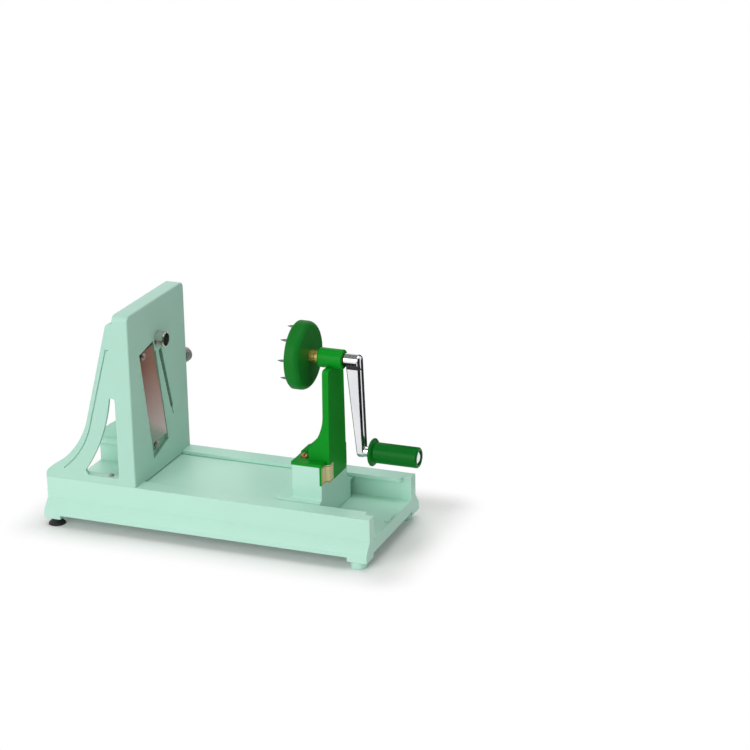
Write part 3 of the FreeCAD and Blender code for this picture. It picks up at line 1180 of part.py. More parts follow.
# Grip turning on its axle
lathe("grip_washer", BOSS_END_X, "0", GRIP_Z,
      rectangle("0", "washer_thick", "axle/2 + fit_gap", "washer_outer/2"))
head_in = "(washer_thick + grip_float + grip_length - grip_recess_deep + grip_float)"
lathe("grip_axle", BOSS_END_X, "0", GRIP_Z,
      pan_screw("-axle_seat", head_in, "axle", "axle_head", "axle_head_thick"))
grip_bore = "axle/2 + run_gap"
lathe("grip", GRIP_X, "0", GRIP_Z, [
    ("0", grip_bore),
    ("0", "grip_flange/2 - grip_edge"),
    ("grip_edge", "grip_flange/2"),
    ("grip_flange_thick - grip_edge", "grip_flange/2"),
    ("grip_flange_thick", "grip_flange/2 - grip_edge"),
    ("grip_flange_thick + grip_edge/2", "grip_outer/2"),
    ("grip_length - grip_edge", "grip_outer/2"),
    ("grip_length", "grip_outer/2 - grip_edge"),
    ("grip_length", "grip_recess/2"),
    ("grip_length - grip_recess_deep", "grip_recess/2"),
    ("grip_length - grip_recess_deep", grip_bore),
])

NODES = [
    "base_frame", "blade_tower", "tower_screws", "slicing_blade", "blade_screws", "coring_ring",
    "comb_blade", "clamp_thumbscrew", "clamp_insert", "suction_feet", "plain_feet", "carriage",
    "arm", "arm_screws", "front_bush", "rear_bush", "spindle_shaft", "disc_collar", "spike_disc",
    "disc_spikes", "crank_lever", "crank_set_screw", "grip_washer", "grip_axle", "grip",
]

DOCUMENT.recompute()
for item in DOCUMENT.Objects:
    if "Invalid" in item.State or "Error" in item.State:
        raise RuntimeError("object in error: " + item.Label)
os.makedirs("parts", exist_ok=True)
for node in NODES:
    shape = DOCUMENT.getObjectsByLabel(node)[0].Shape
    if shape.isNull() or not shape.isValid():
        raise RuntimeError("bad shape: " + node)
    shape.exportStep("parts/%s.step" % node)
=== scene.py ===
import bpy
import json
import math
from mathutils import Matrix, Vector


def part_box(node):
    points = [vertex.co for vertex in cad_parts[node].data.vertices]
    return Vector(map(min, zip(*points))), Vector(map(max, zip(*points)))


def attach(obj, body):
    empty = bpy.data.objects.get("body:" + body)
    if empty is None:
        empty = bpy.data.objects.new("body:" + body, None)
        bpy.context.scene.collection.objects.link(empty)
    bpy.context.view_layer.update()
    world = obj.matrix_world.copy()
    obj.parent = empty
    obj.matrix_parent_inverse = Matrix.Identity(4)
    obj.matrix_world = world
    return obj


# Looks of the crank-turned vegetable slicer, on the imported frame. Metres.

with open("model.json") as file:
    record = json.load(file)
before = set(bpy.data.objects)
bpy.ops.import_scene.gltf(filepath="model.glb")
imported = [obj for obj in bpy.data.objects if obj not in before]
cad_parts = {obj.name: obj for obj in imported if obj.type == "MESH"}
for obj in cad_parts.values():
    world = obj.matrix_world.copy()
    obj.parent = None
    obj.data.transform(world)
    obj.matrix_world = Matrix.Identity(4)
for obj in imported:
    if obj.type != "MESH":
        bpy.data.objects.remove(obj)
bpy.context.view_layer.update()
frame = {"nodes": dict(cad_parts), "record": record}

# Camera: the photograph's viewpoint
CAMERA_PLACE = Vector((0.8902, -1.9012, 0.8968))
CAMERA_AZIMUTH = math.radians(21.533)
CAMERA_ELEVATION = math.radians(19.577)
CAMERA_ROLL = math.radians(-0.964)
CAMERA_LENS_MM = 110.96
CAMERA_SENSOR_MM = 36.0

# Colours, as 8-bit display values
MINT = (193, 236, 219)
MINT_DEEP = (187, 230, 212)
# The tower's mints are darker copies of the base's mints: painted shade for the dimmer light higher up
TOWER_SHADED_MINT = (181, 224, 207)
TOWER_SHADED_MINT_DEEP = (174, 217, 199)
# Painted shade for the faces sunk into the wall's front
MINT_PAINTED_SHADE = (140, 184, 162)
DISC_GREEN = (6, 122, 32)
DISC_GREEN_DEEP = (4, 110, 25)
GRIP_GREEN = (5, 110, 31)
GRIP_GREEN_DEEP = (4, 100, 25)
ARM_GREEN = (8, 150, 36)
ARM_GREEN_DEEP = (6, 138, 29)
BLADE_GREY = (168, 161, 157)
# Painted reflection at the blade's top, and painted shade along its cutting edge
BLADE_BROWN_REFLECTION = (136, 97, 82)
BLADE_EDGE_SHADE = (112, 104, 84)
STEEL = (196, 194, 191)
STEEL_DARK = (150, 148, 146)
# Painted reflection: the comb's steel is greenish, as it mirrors the mint around it
COMB_MINT_REFLECTION = (150, 186, 168)
COMB_MINT_REFLECTION_DARK = (112, 150, 130)
RING_BRIGHT = (228, 226, 223)
RING_DULL = (204, 202, 198)
# Painted shade inside the coring ring's bore
RING_BORE_SHADE = (140, 152, 142)
KNOB_GREY = (204, 200, 199)
KNOB_DARK = (152, 148, 147)
CHROME = (238, 239, 241)
CHROME_HAZE = (216, 218, 222)
BRASS = (246, 218, 136)
BRASS_DARK = (222, 182, 100)
BUSH_BROWN = (120, 84, 44)
BUSH_DARK = (84, 56, 30)
COPPER = (226, 164, 128)
COPPER_DARK = (176, 110, 78)
SPIKE_GREY = (140, 146, 140)
SPIKE_DARK = (98, 104, 98)
RUBBER = (22, 22, 23)
RUBBER_WORN = (38, 38, 39)
FLOOR = (252, 252, 251)
CARD_BLACK = (20, 22, 21)
CARD_GREY = (150, 152, 152)
LABEL_CREAM = (232, 226, 182)
LABEL_GOLD = (206, 190, 116)
LABEL_LINE = (92, 84, 40)

# From display values to linear light
DISPLAY_TOP = 255.0
TOE_END = 0.04045
TOE_SLOPE = 12.92
CURVE_SHIFT = 0.055
CURVE_POWER = 2.4

# Sockets of the Mix node in its colour mode
MIX_FIRST = 6
MIX_SECOND = 7
MIX_RESULT = 2

# Moulded plastic: noise scales, blotches, changes of roughness, relief
PLASTIC_CLOUD = 11.0
PLASTIC_FLOW = 42.0
PLASTIC_GRAIN = 1900.0
BLOTCH_OF_CLOUD = 0.7
BLOTCH_OF_FLOW = 0.3
BLOTCH_START = 0.2
FLOW_ROUGHNESS = 0.10
GRAIN_ROUGHNESS = 0.05
RELIEF_OF_FLOW = 0.8
RELIEF_OF_GRAIN = 0.2
PLASTIC_RELIEF = {"strength": 0.05, "distance": 0.0006, "edge": 0.0007}
PLASTIC_IOR = 1.5
COAT_ROUGHNESS = 0.08
MINT_SURFACE = {"roughness": 0.34, "gloss": 0.28, "coat": 0.04}
GREEN_SURFACE = {"roughness": 0.24, "gloss": 0.09, "coat": 0.02}
DISC_SURFACE = {"roughness": 0.4, "gloss": 0.16, "coat": 0.0}

# Ground, polished and turned metal
GRIND_SCALE = 60.0
GRIND_STRETCH = (22.0, 22.0, 1.2)
GRIND_CLOUD = 26.0
PALE_OF_LINES = 0.6
PALE_OF_CLOUD = 0.4
GRIND_RELIEF = {"strength": 0.10, "distance": 0.0002, "edge": 0.0002}
HAZE_SCALE = 55.0
HAIR_SCALE = 300.0
HAIR_STRETCH = (1.0, 9.0, 9.0)
HAZE_ROUGHNESS = 0.05
HAIR_ROUGHNESS = 0.03
POLISH_STRENGTH = 0.03
POLISH_DISTANCE = 0.0005
TURN_SCALE = 900.0
TURN_STRETCH = (1.0, 0.05, 0.05)
TURN_RELIEF = {"strength": 0.12, "distance": 0.0002, "edge": 0.0003}
TURN_ROUGHNESS = 0.28
TARNISH_SCALE = 240.0
TARNISH_ROUGHNESS = 0.15
ROUNDING_SAMPLES = 6

# Rubber and label stock
RUBBER_GRAIN = 1400.0
RUBBER_CLOUD = 70.0
RUBBER_ROUGHNESS = 0.5
RUBBER_GRAIN_ROUGHNESS = 0.2
RUBBER_RELIEF = {"strength": 0.15, "distance": 0.0003}
FOIL_SHEEN = 90.0
FOIL_GRAIN = 1500.0
FOIL_ROUGHNESS = 0.3
FOIL_GRAIN_ROUGHNESS = 0.2
FOIL_RELIEF = {"strength": 0.05, "distance": 0.0002}

# Slicing blade: painted reflection that changes from dark brown to light, and painted shade along the
# cutting edge
BLADE_OF_PALE = 0.4
BLADE_START = 0.4
BLADE_GRADIENT = 1.2
BLADE_LEAN = math.radians(11.7)
EDGE_SHADE_WIDTH = 0.0026
EDGE_SHADE_FADE = 0.055

# Painted shade on the sunk faces of the wall's front: depths behind the face, half breadth, distance
# from the wall's top
COMB_SUNK = 0.0006
SUNK_FROM = 0.0005
SUNK_TO = 0.0056
SUNK_HALF = 0.048
SUNK_BELOW_TOP = 0.006

# Coring ring: reach of the painted shade in the bore as a share of the outside radius, and how much
# rougher the bore is
RING_BORE_SHARE = 0.846
RING_BORE_ROUGHNESS = 0.2

# Label on the arm's apron: foil, thin line, and where it bends from the apron to the post's rib
LABEL_LIFT = 0.00015
LABEL_THICK = 0.0002
LABEL_MARGIN = 0.0004
LABEL_TALL = 0.0176
LABEL_LINE_INSET = 0.0009
LABEL_LINE_WIDTH = 0.0006
APRON_NEAR = -0.0316
APRON_BEND = -0.0228
RIB_PROUD = 0.004
RIB_BEND = -0.0207
RIB_FAR = -0.0120

# Knurl of the clamp knob: the knob's length, and the ribs round it
KNOB_LENGTH = 0.0074
KNURL_COUNT = 40
KNURL_SIZE = 0.00046
KNURL_SINK = 0.0001
KNURL_LENGTH = 0.0054
KNURL_SIDES = 8


def colour(triple):
    """Linear light of a colour that is given in display values."""
    linear = []
    for value in triple:
        share = value / DISPLAY_TOP
        if share <= TOE_END:
            linear.append(share / TOE_SLOPE)
        else:
            linear.append(((share + CURVE_SHIFT) / (1.0 + CURVE_SHIFT)) ** CURVE_POWER)
    return (*linear, 1.0)


class Field:
    """A number that changes over a surface; arithmetic on it adds Math nodes."""

    def __init__(self, graph, socket):
        self.graph = graph
        self.socket = socket

    def joined(self, operation, first, second, clamp=False):
        settings = {"operation": operation, "use_clamp": clamp}
        node = self.graph.node("ShaderNodeMath", settings, {0: first, 1: second})
        return Field(self.graph, node.outputs[0])

    def __add__(self, other):
        return self.joined("ADD", self, other)

    __radd__ = __add__

    def __sub__(self, other):
        return self.joined("SUBTRACT", self, other)

    def __rsub__(self, other):
        return self.joined("SUBTRACT", other, self)

    def __mul__(self, other):
        return self.joined("MULTIPLY", self, other)

    __rmul__ = __mul__

    def above(self, limit):
        return self.joined("GREATER_THAN", self, limit)

    def least(self, other):
        return self.joined("MINIMUM", self, other)

    def most(self, other):
        return self.joined("MAXIMUM", self, other)

    def size(self):
        return self.most(self * -1.0)

    def root(self):
        return self.joined("POWER", self, 0.5)

    def clamped(self):
        return self.joined("ADD", self, 0.0, clamp=True)


class Graph:
    """A node tree under construction; sockets are given by name, or by number where names repeat."""

    def __init__(self, tree):
        self.tree = tree
        tree.nodes.clear()

    def node(self, kind, settings=None, inputs=None):
        node = self.tree.nodes.new(kind)
        for name, value in (settings or {}).items():
            setattr(node, name, value)
        for name, value in (inputs or {}).items():
            self.feed(node.inputs[name], value)
        return node

    def feed(self, socket, value):
        if isinstance(value, Field):
            value = value.socket
        if isinstance(value, bpy.types.NodeSocket):
            self.tree.links.new(value, socket)
        else:
            socket.default_value = value

    def seen_directly(self):
        """One for the rays of the camera, of gloss and of glass, nought for those that carry light."""
        path = self.node("ShaderNodeLightPath")
        total = 0.0
        for ray in ("Is Camera Ray", "Is Glossy Ray", "Is Transmission Ray"):
            total = Field(self, path.outputs[ray]) + total
        return total.clamped()


class Finish(Graph):
    """A material under construction round one Principled shader."""

    def __init__(self, name):
        self.material = bpy.data.materials.new(name)
        self.material.use_nodes = True
        super().__init__(self.material.node_tree)
        self.shader = self.node("ShaderNodeBsdfPrincipled")
        self.output = self.node("ShaderNodeOutputMaterial", {}, {"Surface": self.shader.outputs[0]})
        self.place = self.node("ShaderNodeTexCoord").outputs["Object"]

    def set(self, inputs):
        for name, value in inputs.items():
            self.feed(self.shader.inputs[name], value)

    def axis(self, letter):
        split = self.node("ShaderNodeSeparateXYZ", {}, {"Vector": self.place})
        return Field(self, split.outputs[letter])

    def stretched(self, scale):
        mapping = self.node("ShaderNodeMapping", {}, {"Vector": self.place, "Scale": scale})
        return mapping.outputs["Vector"]

    def noise(self, scale, detail, vector=None):
        inputs = {"Vector": vector or self.place, "Scale": scale, "Detail": detail}
        return Field(self, self.node("ShaderNodeTexNoise", {}, inputs).outputs["Fac"])

    def mix(self, factor, first, second):
        inputs = {"Factor": factor, MIX_FIRST: first, MIX_SECOND: second}
        return self.node("ShaderNodeMix", {"data_type": "RGBA"}, inputs).outputs[MIX_RESULT]

    def relief(self, height, strength, distance, edge=None):
        inputs = {"Height": height, "Strength": strength, "Distance": distance}
        if edge:
            rounded = self.node("ShaderNodeBevel", {"samples": ROUNDING_SAMPLES}, {"Radius": edge})
            inputs["Normal"] = rounded.outputs["Normal"]
        return self.node("ShaderNodeBump", {}, inputs).outputs["Normal"]

    def covered(self, cover, factor):
        """Shows another shader in place of this one as the factor goes to one."""
        inputs = {"Fac": factor, 1: self.shader.outputs[0], 2: cover.outputs[0]}
        blend = self.node("ShaderNodeMixShader", {}, inputs)
        self.feed(self.output.inputs["Surface"], blend.outputs[0])


def wall_recess_shade_mask(finish):
    """One on the faces sunk into the wall's front, where a darker mint is painted as shade, nought
    elsewhere.
    """
    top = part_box("blade_tower")[1].z - SUNK_BELOW_TOP
    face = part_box("comb_blade")[1].x + COMB_SUNK
    depth = face - finish.axis("X")
    sunk = depth.above(SUNK_FROM) * (1.0 - depth.above(SUNK_TO))
    between = 1.0 - finish.axis("Y").size().above(SUNK_HALF)
    below = 1.0 - finish.axis("Z").above(top)
    return sunk * between * below


def moulded_plastic(name, light, deep, roughness, gloss, coat, shade_mask=None):
    """Plastic in two close shades; a shade mask says which of its faces are sunk, where painted shade
    makes the mint darker.
    """
    finish = Finish(name)
    cloud = finish.noise(PLASTIC_CLOUD, detail=3.0)
    flow = finish.noise(PLASTIC_FLOW, detail=2.0)
    grain = finish.noise(PLASTIC_GRAIN, detail=1.0)
    blotch = (cloud * BLOTCH_OF_CLOUD + flow * BLOTCH_OF_FLOW - BLOTCH_START).clamped()
    surface = finish.mix(blotch, colour(light), colour(deep))
    if shade_mask:
        # Painted shade: the sunk faces of the wall get a darker mint
        surface = finish.mix(shade_mask(finish), surface, colour(MINT_PAINTED_SHADE))
    height = flow * RELIEF_OF_FLOW + grain * RELIEF_OF_GRAIN
    finish.set({
        "Base Color": surface,
        "Roughness": roughness + FLOW_ROUGHNESS * flow + GRAIN_ROUGHNESS * grain,
        "Specular IOR Level": gloss,
        "Coat Weight": coat,
        "Coat Roughness": COAT_ROUGHNESS,
        "IOR": PLASTIC_IOR,
        "Normal": finish.relief(height, **PLASTIC_RELIEF),
    })
    return finish.material


def ground_metal(name, light, dark, roughness, spread, shade=None):
    """Steel with fine upright grinding lines; a shade lays the two colours in its own way."""
    finish = Finish(name)
    lines = finish.noise(GRIND_SCALE, detail=4.0, vector=finish.stretched(GRIND_STRETCH))
    cloud = finish.noise(GRIND_CLOUD, detail=3.0)
    pale = lines * PALE_OF_LINES + cloud * PALE_OF_CLOUD
    if shade:
        surface = shade(finish, pale, light, dark)
    else:
        surface = finish.mix(pale.clamped(), colour(dark), colour(light))
    finish.set({
        "Base Color": surface,
        "Metallic": 1.0,
        "Roughness": roughness + spread * lines,
        "Normal": finish.relief(lines, **GRIND_RELIEF),
    })
    return finish.material


def blade_shade(finish, pale, light, dark):
    """Painted reflection: the blade goes from dark brown at its top to light; painted shade darkens a
    strip at its cutting edge, fading downward.
    """
    low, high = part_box("slicing_blade")
    across = finish.axis("Y")
    up = finish.axis("Z")
    down = (high.z - up) * (BLADE_GRADIENT / (high.z - low.z))
    grey = pale * BLADE_OF_PALE - BLADE_START + down
    # Painted reflection: dark brown at the top, light lower down
    steel = finish.mix(grey.clamped(), colour(dark), colour(light))
    edge_reach = high.y * math.cos(BLADE_LEAN) + low.z * math.sin(BLADE_LEAN)
    to_edge = edge_reach - (across * math.cos(BLADE_LEAN) + up * math.sin(BLADE_LEAN))
    # Painted shade: a dark strip along the cutting edge
    edge_shade = 1.0 - to_edge.above(EDGE_SHADE_WIDTH)
    fading = (1.0 - (high.z - up) * (1.0 / EDGE_SHADE_FADE)).clamped()
    return finish.mix(edge_shade * fading, steel, colour(BLADE_EDGE_SHADE))


def polished_metal(name, light, dull, roughness, edge, bore=None):
    """Polished metal; a bore paints shade on the faces near the axis of a tube along X and makes them
    dull.
    """
    finish = Finish(name)
    haze = finish.noise(HAZE_SCALE, detail=3.0)
    hair = finish.noise(HAIR_SCALE, detail=2.0, vector=finish.stretched(HAIR_STRETCH))
    surface = finish.mix(haze, colour(light), colour(dull))
    if bore:
        low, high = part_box(bore)
        middle = (low + high) / 2
        across = finish.axis("Y") - middle.y
        up = finish.axis("Z") - middle.z
        reach = RING_BORE_SHARE * (high.y - low.y) / 2
        inside = 1.0 - (across * across + up * up).root().above(reach)
        # Painted shade inside the bore
        surface = finish.mix(inside, surface, colour(RING_BORE_SHADE))
        roughness = roughness + RING_BORE_ROUGHNESS * inside
    finish.set({
        "Base Color": surface,
        "Metallic": 1.0,
        "Roughness": roughness + HAZE_ROUGHNESS * haze + HAIR_ROUGHNESS * hair,
        "Normal": finish.relief(haze, POLISH_STRENGTH, POLISH_DISTANCE, edge),
    })
    return finish.material


def turned_metal(name, light, dark):
    """Brass or copper with fine rings round the line of X."""
    finish = Finish(name)
    rings = finish.noise(TURN_SCALE, detail=2.0, vector=finish.stretched(TURN_STRETCH))
    tarnish = finish.noise(TARNISH_SCALE, detail=3.0)
    finish.set({
        "Base Color": finish.mix(tarnish, colour(light), colour(dark)),
        "Metallic": 1.0,
        "Roughness": TURN_ROUGHNESS + TARNISH_ROUGHNESS * tarnish,
        "Normal": finish.relief(rings, **TURN_RELIEF),
    })
    return finish.material


def soft_rubber():
    finish = Finish("soft_rubber")
    grain = finish.noise(RUBBER_GRAIN, detail=3.0)
    cloud = finish.noise(RUBBER_CLOUD, detail=2.0)
    finish.set({
        "Base Color": finish.mix(cloud, colour(RUBBER), colour(RUBBER_WORN)),
        "Roughness": RUBBER_ROUGHNESS + RUBBER_GRAIN_ROUGHNESS * grain,
        "Normal": finish.relief(grain, **RUBBER_RELIEF),
    })
    return finish.material


def printed_foil(low, high):
    """Plain label stock between two corners, with one thin line inside its edge."""
    finish = Finish("printed_foil")
    across = finish.axis("Y")
    up = finish.axis("Z")
    inward = (across - low.y).least(high.y - across).least((up - low.z).least(high.z - up))
    past_line = inward.above(LABEL_LINE_INSET + LABEL_LINE_WIDTH)
    line = inward.above(LABEL_LINE_INSET) * (1.0 - past_line)
    sheen = finish.noise(FOIL_SHEEN, detail=2.0)
    grain = finish.noise(FOIL_GRAIN, detail=2.0)
    paper = finish.mix(sheen, colour(LABEL_CREAM), colour(LABEL_GOLD))
    finish.set({
        "Base Color": finish.mix(line, paper, colour(LABEL_LINE)),
        "Roughness": FOIL_ROUGHNESS + FOIL_GRAIN_ROUGHNESS * grain,
        "Normal": finish.relief(grain, **FOIL_RELIEF),
    })
    return finish.material


SLOT_FINISHES = {
    "mint_plastic": moulded_plastic("mint_plastic_moulded", MINT, MINT_DEEP, **MINT_SURFACE),
    "green_plastic": moulded_plastic(
        "green_plastic_moulded", GRIP_GREEN, GRIP_GREEN_DEEP, **GREEN_SURFACE),
    "blade_steel": ground_metal("plain_steel", STEEL, STEEL_DARK, roughness=0.2, spread=0.2),
    "chrome_metal": polished_metal("polished_chrome", CHROME, CHROME_HAZE, roughness=0.05, edge=0.0004),
    "brass_metal": turned_metal("turned_brass", BRASS, BRASS_DARK),
    "black_rubber": soft_rubber(),
}
KNOB_STEEL = ground_metal("knob_steel", KNOB_GREY, KNOB_DARK, roughness=0.3, spread=0.2)
NODE_FINISHES = {
    # The tower's plastic is a darker copy of the base's mint, painted shade
    "blade_tower": moulded_plastic(
        "tower_plastic_painted_shade", TOWER_SHADED_MINT, TOWER_SHADED_MINT_DEEP, **MINT_SURFACE, shade_mask=wall_recess_shade_mask),
    "arm": moulded_plastic("arm_plastic_moulded", ARM_GREEN, ARM_GREEN_DEEP, **GREEN_SURFACE),
    "spike_disc": moulded_plastic("disc_plastic_moulded", DISC_GREEN, DISC_GREEN_DEEP, **DISC_SURFACE),
    "disc_spikes": ground_metal("spike_steel", SPIKE_GREY, SPIKE_DARK, roughness=0.3, spread=0.2),
    # The blade's base colour holds a painted reflection and a painted shade
    "slicing_blade": ground_metal(
        "blade_ground_painted_reflection", BLADE_GREY, BLADE_BROWN_REFLECTION, roughness=0.14, spread=0.12, shade=blade_shade),
    # The comb's greenish colour is a painted reflection of the mint
    "comb_blade": ground_metal("comb_ground_painted_reflection", COMB_MINT_REFLECTION, COMB_MINT_REFLECTION_DARK, roughness=0.3, spread=0.2),
    "coring_ring": polished_metal(
        "ring_polished", RING_BRIGHT, RING_DULL, roughness=0.16, edge=0.0002, bore="coring_ring"),
    "clamp_thumbscrew": KNOB_STEEL,
    "arm_screws": turned_metal("screw_copper", COPPER, COPPER_DARK),
    "rear_bush": turned_metal("bush_dull", BUSH_BROWN, BUSH_DARK),
}

for entry in frame["record"]["subparts"]:
    part = frame["nodes"][entry["node"]]
    slot_finish = SLOT_FINISHES[entry["material_slot"]]
    part.data.materials.clear()
    part.data.materials.append(NODE_FINISHES.get(entry["node"], slot_finish))


def linked(name, data):
    body = bpy.data.objects.new(name, data)
    bpy.context.scene.collection.objects.link(body)
    return body


# Label: thin foil laid on the arm's apron and bent over the edge of the post's rib
def apron_label():
    block_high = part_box("carriage")[1]
    high_z = block_high.z - LABEL_MARGIN
    low_z = high_z - LABEL_TALL
    apron = block_high.x + LABEL_LIFT
    rib = apron + RIB_PROUD
    bends = [(apron, APRON_NEAR), (apron, APRON_BEND), (rib, RIB_BEND), (rib, RIB_FAR)]
    points = [(x, y, z) for z in (low_z, high_z) for x, y in bends]
    count = len(bends)
    faces = [(step, step + 1, step + 1 + count, step + count) for step in range(count - 1)]
    mesh = bpy.data.meshes.new("apron_label")
    mesh.from_pydata(points, [], faces)
    mesh.materials.append(printed_foil(Vector(points[0]), Vector(points[-1])))
    label = linked("apron_label", mesh)
    foil = label.modifiers.new("foil", "SOLIDIFY")
    foil.thickness = LABEL_THICK
    foil.offset = 1.0
    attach(label, "carriage")


# Knurl: straight ribs round the clamp knob
def knurl_tree():
    tree = bpy.data.node_groups.new("knurl_ribs", "GeometryNodeTree")
    sockets = tree.interface
    sockets.new_socket("Geometry", in_out="OUTPUT", socket_type="NodeSocketGeometry")
    inputs = {"Count": "Int", "Ring Radius": "Float", "Rib Radius": "Float", "Rib Length": "Float",
              "Rib Sides": "Int", "Centre": "Vector", "Turn": "Vector", "Finish": "Material"}
    for name, kind in inputs.items():
        sockets.new_socket(name, in_out="INPUT", socket_type="NodeSocket" + kind)
    graph = Graph(tree)
    given = graph.node("NodeGroupInput").outputs
    ring = graph.node("GeometryNodeMeshCircle", {}, {
        "Vertices": given["Count"], "Radius": given["Ring Radius"]})
    rib = graph.node("GeometryNodeMeshCylinder", {}, {
        "Vertices": given["Rib Sides"], "Radius": given["Rib Radius"], "Depth": given["Rib Length"]})
    ribs = graph.node("GeometryNodeInstanceOnPoints", {}, {
        "Points": ring.outputs["Mesh"], "Instance": rib.outputs["Mesh"]})
    placed = graph.node("GeometryNodeTransform", {}, {
        "Geometry": ribs.outputs["Instances"],
        "Translation": given["Centre"], "Rotation": given["Turn"]})
    solid = graph.node("GeometryNodeRealizeInstances", {}, {"Geometry": placed.outputs["Geometry"]})
    painted = graph.node("GeometryNodeSetMaterial", {}, {
        "Geometry": solid.outputs["Geometry"], "Material": given["Finish"]})
    graph.node("NodeGroupOutput", {}, {"Geometry": painted.outputs["Geometry"]})
    return tree


def knob_knurl():
    low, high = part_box("clamp_thumbscrew")
    middle = (low + high) / 2
    sizes = {
        "Count": KNURL_COUNT,
        "Ring Radius": (high.x - low.x) / 2 - KNURL_SINK,
        "Rib Radius": KNURL_SIZE,
        "Rib Length": KNURL_LENGTH,
        "Rib Sides": KNURL_SIDES,
        "Centre": (middle.x, high.y - KNOB_LENGTH / 2, middle.z),
        "Turn": (math.pi / 2, 0.0, 0.0),
        "Finish": KNOB_STEEL,
    }
    ribs = linked("knob_knurl", bpy.data.meshes.new("knob_knurl_seed"))
    maker = ribs.modifiers.new("knurl", "NODES")
    maker.node_group = knurl_tree()
    for socket in maker.node_group.interface.items_tree:
        if socket.name in sizes:
            maker[socket.identifier] = sizes[socket.name]
    evaluated = ribs.evaluated_get(bpy.context.evaluated_depsgraph_get())
    mesh = bpy.data.meshes.new_from_object(evaluated)
    ribs.modifiers.remove(maker)
    ribs.data = mesh
    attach(ribs, "clamp")


# Studio: pale floor that whitens away from the object, soft lamps, cards that only gloss sees
FLOOR_HALF = 4.0
FLOOR_WHITE_NEAR = 0.06
FLOOR_WHITE_REACH = 0.045
FLOOR_GLOSS = 0.1
SHADOW_REACH = Vector((0.015, 0.03, 0.0))
PAINT_ROUGHNESS = 0.9
BACKDROP = 1.0
AMBIENT = 0.256
WHITE = (1.0, 1.0, 1.0, 1.0)


def upright(start, end, foot, top):
    """Corners of an upright card between two points of the plan."""
    return [(*start, foot), (*end, foot), (*end, top), (*start, top)]


def level(start, end, height):
    """Corners of a level sheet that has two points of the plan as its opposite corners."""
    return [(start[0], start[1], height), (end[0], start[1], height),
            (end[0], end[1], height), (start[0], end[1], height)]


def flat_sheet(name, corners, finish):
    mesh = bpy.data.meshes.new(name)
    mesh.from_pydata(corners, [], [tuple(range(len(corners)))])
    mesh.materials.append(finish.material)
    sheet = linked(name, mesh)
    return sheet


def pale_floor():
    finish = Finish("studio_floor_paint")
    finish.set({
        "Base Color": colour(FLOOR), "Roughness": PAINT_ROUGHNESS, "Specular IOR Level": FLOOR_GLOSS})
    low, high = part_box("base_frame")
    middle = (low + high + SHADOW_REACH) / 2
    half = (high + SHADOW_REACH - low) / 2
    beyond_x = ((finish.axis("X") - middle.x).size() - half.x).most(0.0)
    beyond_y = ((finish.axis("Y") - middle.y).size() - half.y).most(0.0)
    outside = (beyond_x * beyond_x + beyond_y * beyond_y).root()
    away = finish.node("ShaderNodeMapRange", {"interpolation_type": "SMOOTHSTEP"}, {
        "Value": outside, "From Min": 0.0, "From Max": FLOOR_WHITE_REACH,
        "To Min": FLOOR_WHITE_NEAR, "To Max": 1.0})
    white = finish.node("ShaderNodeEmission", {}, {"Strength": BACKDROP})
    finish.covered(white, finish.seen_directly() * Field(finish, away.outputs["Result"]))
    corners = level((-FLOOR_HALF, -FLOOR_HALF), (FLOOR_HALF, FLOOR_HALF), 0.0)
    flat_sheet("studio_floor", corners, finish)


def gloss_card(name, corners, paint=CARD_BLACK):
    """A card that only gloss sees."""
    finish = Finish(name + "_paint")
    finish.set({"Base Color": colour(paint), "Roughness": PAINT_ROUGHNESS})
    card = flat_sheet(name, corners, finish)
    card.visible_camera = False
    card.visible_diffuse = False
    card.visible_shadow = False
    card.visible_transmission = False


def lamp(name, place, aim, size, power, shows_in_gloss=True):
    data = bpy.data.lights.new(name, "AREA")
    data.shape = "SQUARE"
    data.size = size
    data.energy = power
    body = linked(name, data)
    body.location = place
    body.rotation_euler = (Vector(aim) - Vector(place)).to_track_quat("-Z", "Y").to_euler()
    body.visible_glossy = shows_in_gloss


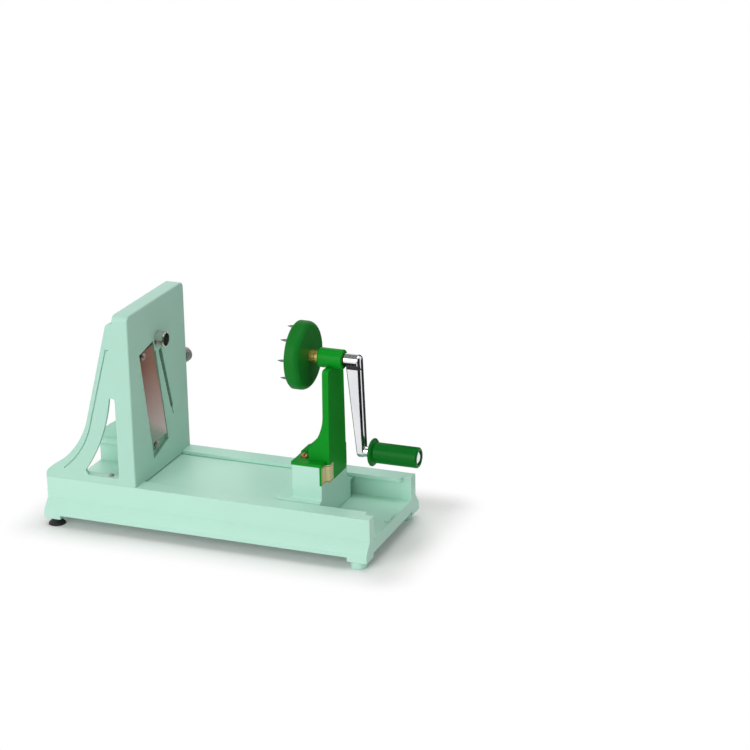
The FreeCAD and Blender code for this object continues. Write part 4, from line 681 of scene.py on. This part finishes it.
def surroundings():
    """A white backdrop for the eye and for gloss, and a dimmer even light on everything."""
    world = bpy.data.worlds.new("studio_world")
    bpy.context.scene.world = world
    world.use_nodes = True
    graph = Graph(world.node_tree)
    strength = graph.seen_directly() * (BACKDROP - AMBIENT) + AMBIENT
    background = graph.node("ShaderNodeBackground", {}, {"Color": WHITE, "Strength": strength})
    graph.node("ShaderNodeOutputWorld", {}, {"Surface": background.outputs[0]})


def photo_camera():
    data = bpy.data.cameras.new("photo_camera")
    data.lens = CAMERA_LENS_MM
    data.sensor_width = CAMERA_SENSOR_MM
    camera = linked("photo_camera", data)
    turn = Matrix.Rotation(CAMERA_AZIMUTH, 4, "Z")
    tilt = Matrix.Rotation(math.pi / 2 - CAMERA_ELEVATION, 4, "X")
    roll = Matrix.Rotation(CAMERA_ROLL, 4, "Z")
    camera.matrix_world = Matrix.Translation(CAMERA_PLACE) @ turn @ tilt @ roll
    bpy.context.scene.camera = camera


apron_label()
knob_knurl()
pale_floor()
gloss_card("card_behind_wall", upright(start=(-0.06, 0.14), end=(0.0, 0.14), foot=0.0, top=0.45))
gloss_card("card_behind_arm", upright(start=(0.09, 0.14), end=(0.2, 0.14), foot=0.0, top=0.45))
gloss_card("card_beside", upright(start=(0.15, -0.4), end=(0.36, 0.05), foot=0.0, top=0.4))
gloss_card("card_before", upright(start=(-4.0, -2.9), end=(4.0, -2.9), foot=0.0, top=4.0))
gloss_card("card_above", level(start=(-0.25, -0.35), end=(0.12, 0.35), height=0.5), CARD_GREY)
gloss_card("card_under_hub", level(start=(0.10, -0.018), end=(0.17, 0.0), height=0.1745))
lamp("key_softbox", place=(-0.5, -2.2, 1.0), aim=(-0.02, 0.0, 0.08), size=1.8, power=31.5)
lamp("top_softbox", place=(0.1, 0.1, 1.9), aim=(0.0, 0.0, 0.05), size=1.4, power=12.5)
lamp("back_fill", place=(-1.2, 2.0, 1.1), aim=(0.0, 0.0, 0.1), size=1.2, power=12.0,
     shows_in_gloss=False)
lamp("right_fill", place=(1.8, -0.9, 0.9), aim=(0.0, 0.0, 0.1), size=1.0, power=2.5)
surroundings()
photo_camera()

bpy.context.scene.view_settings.view_transform = "Standard"
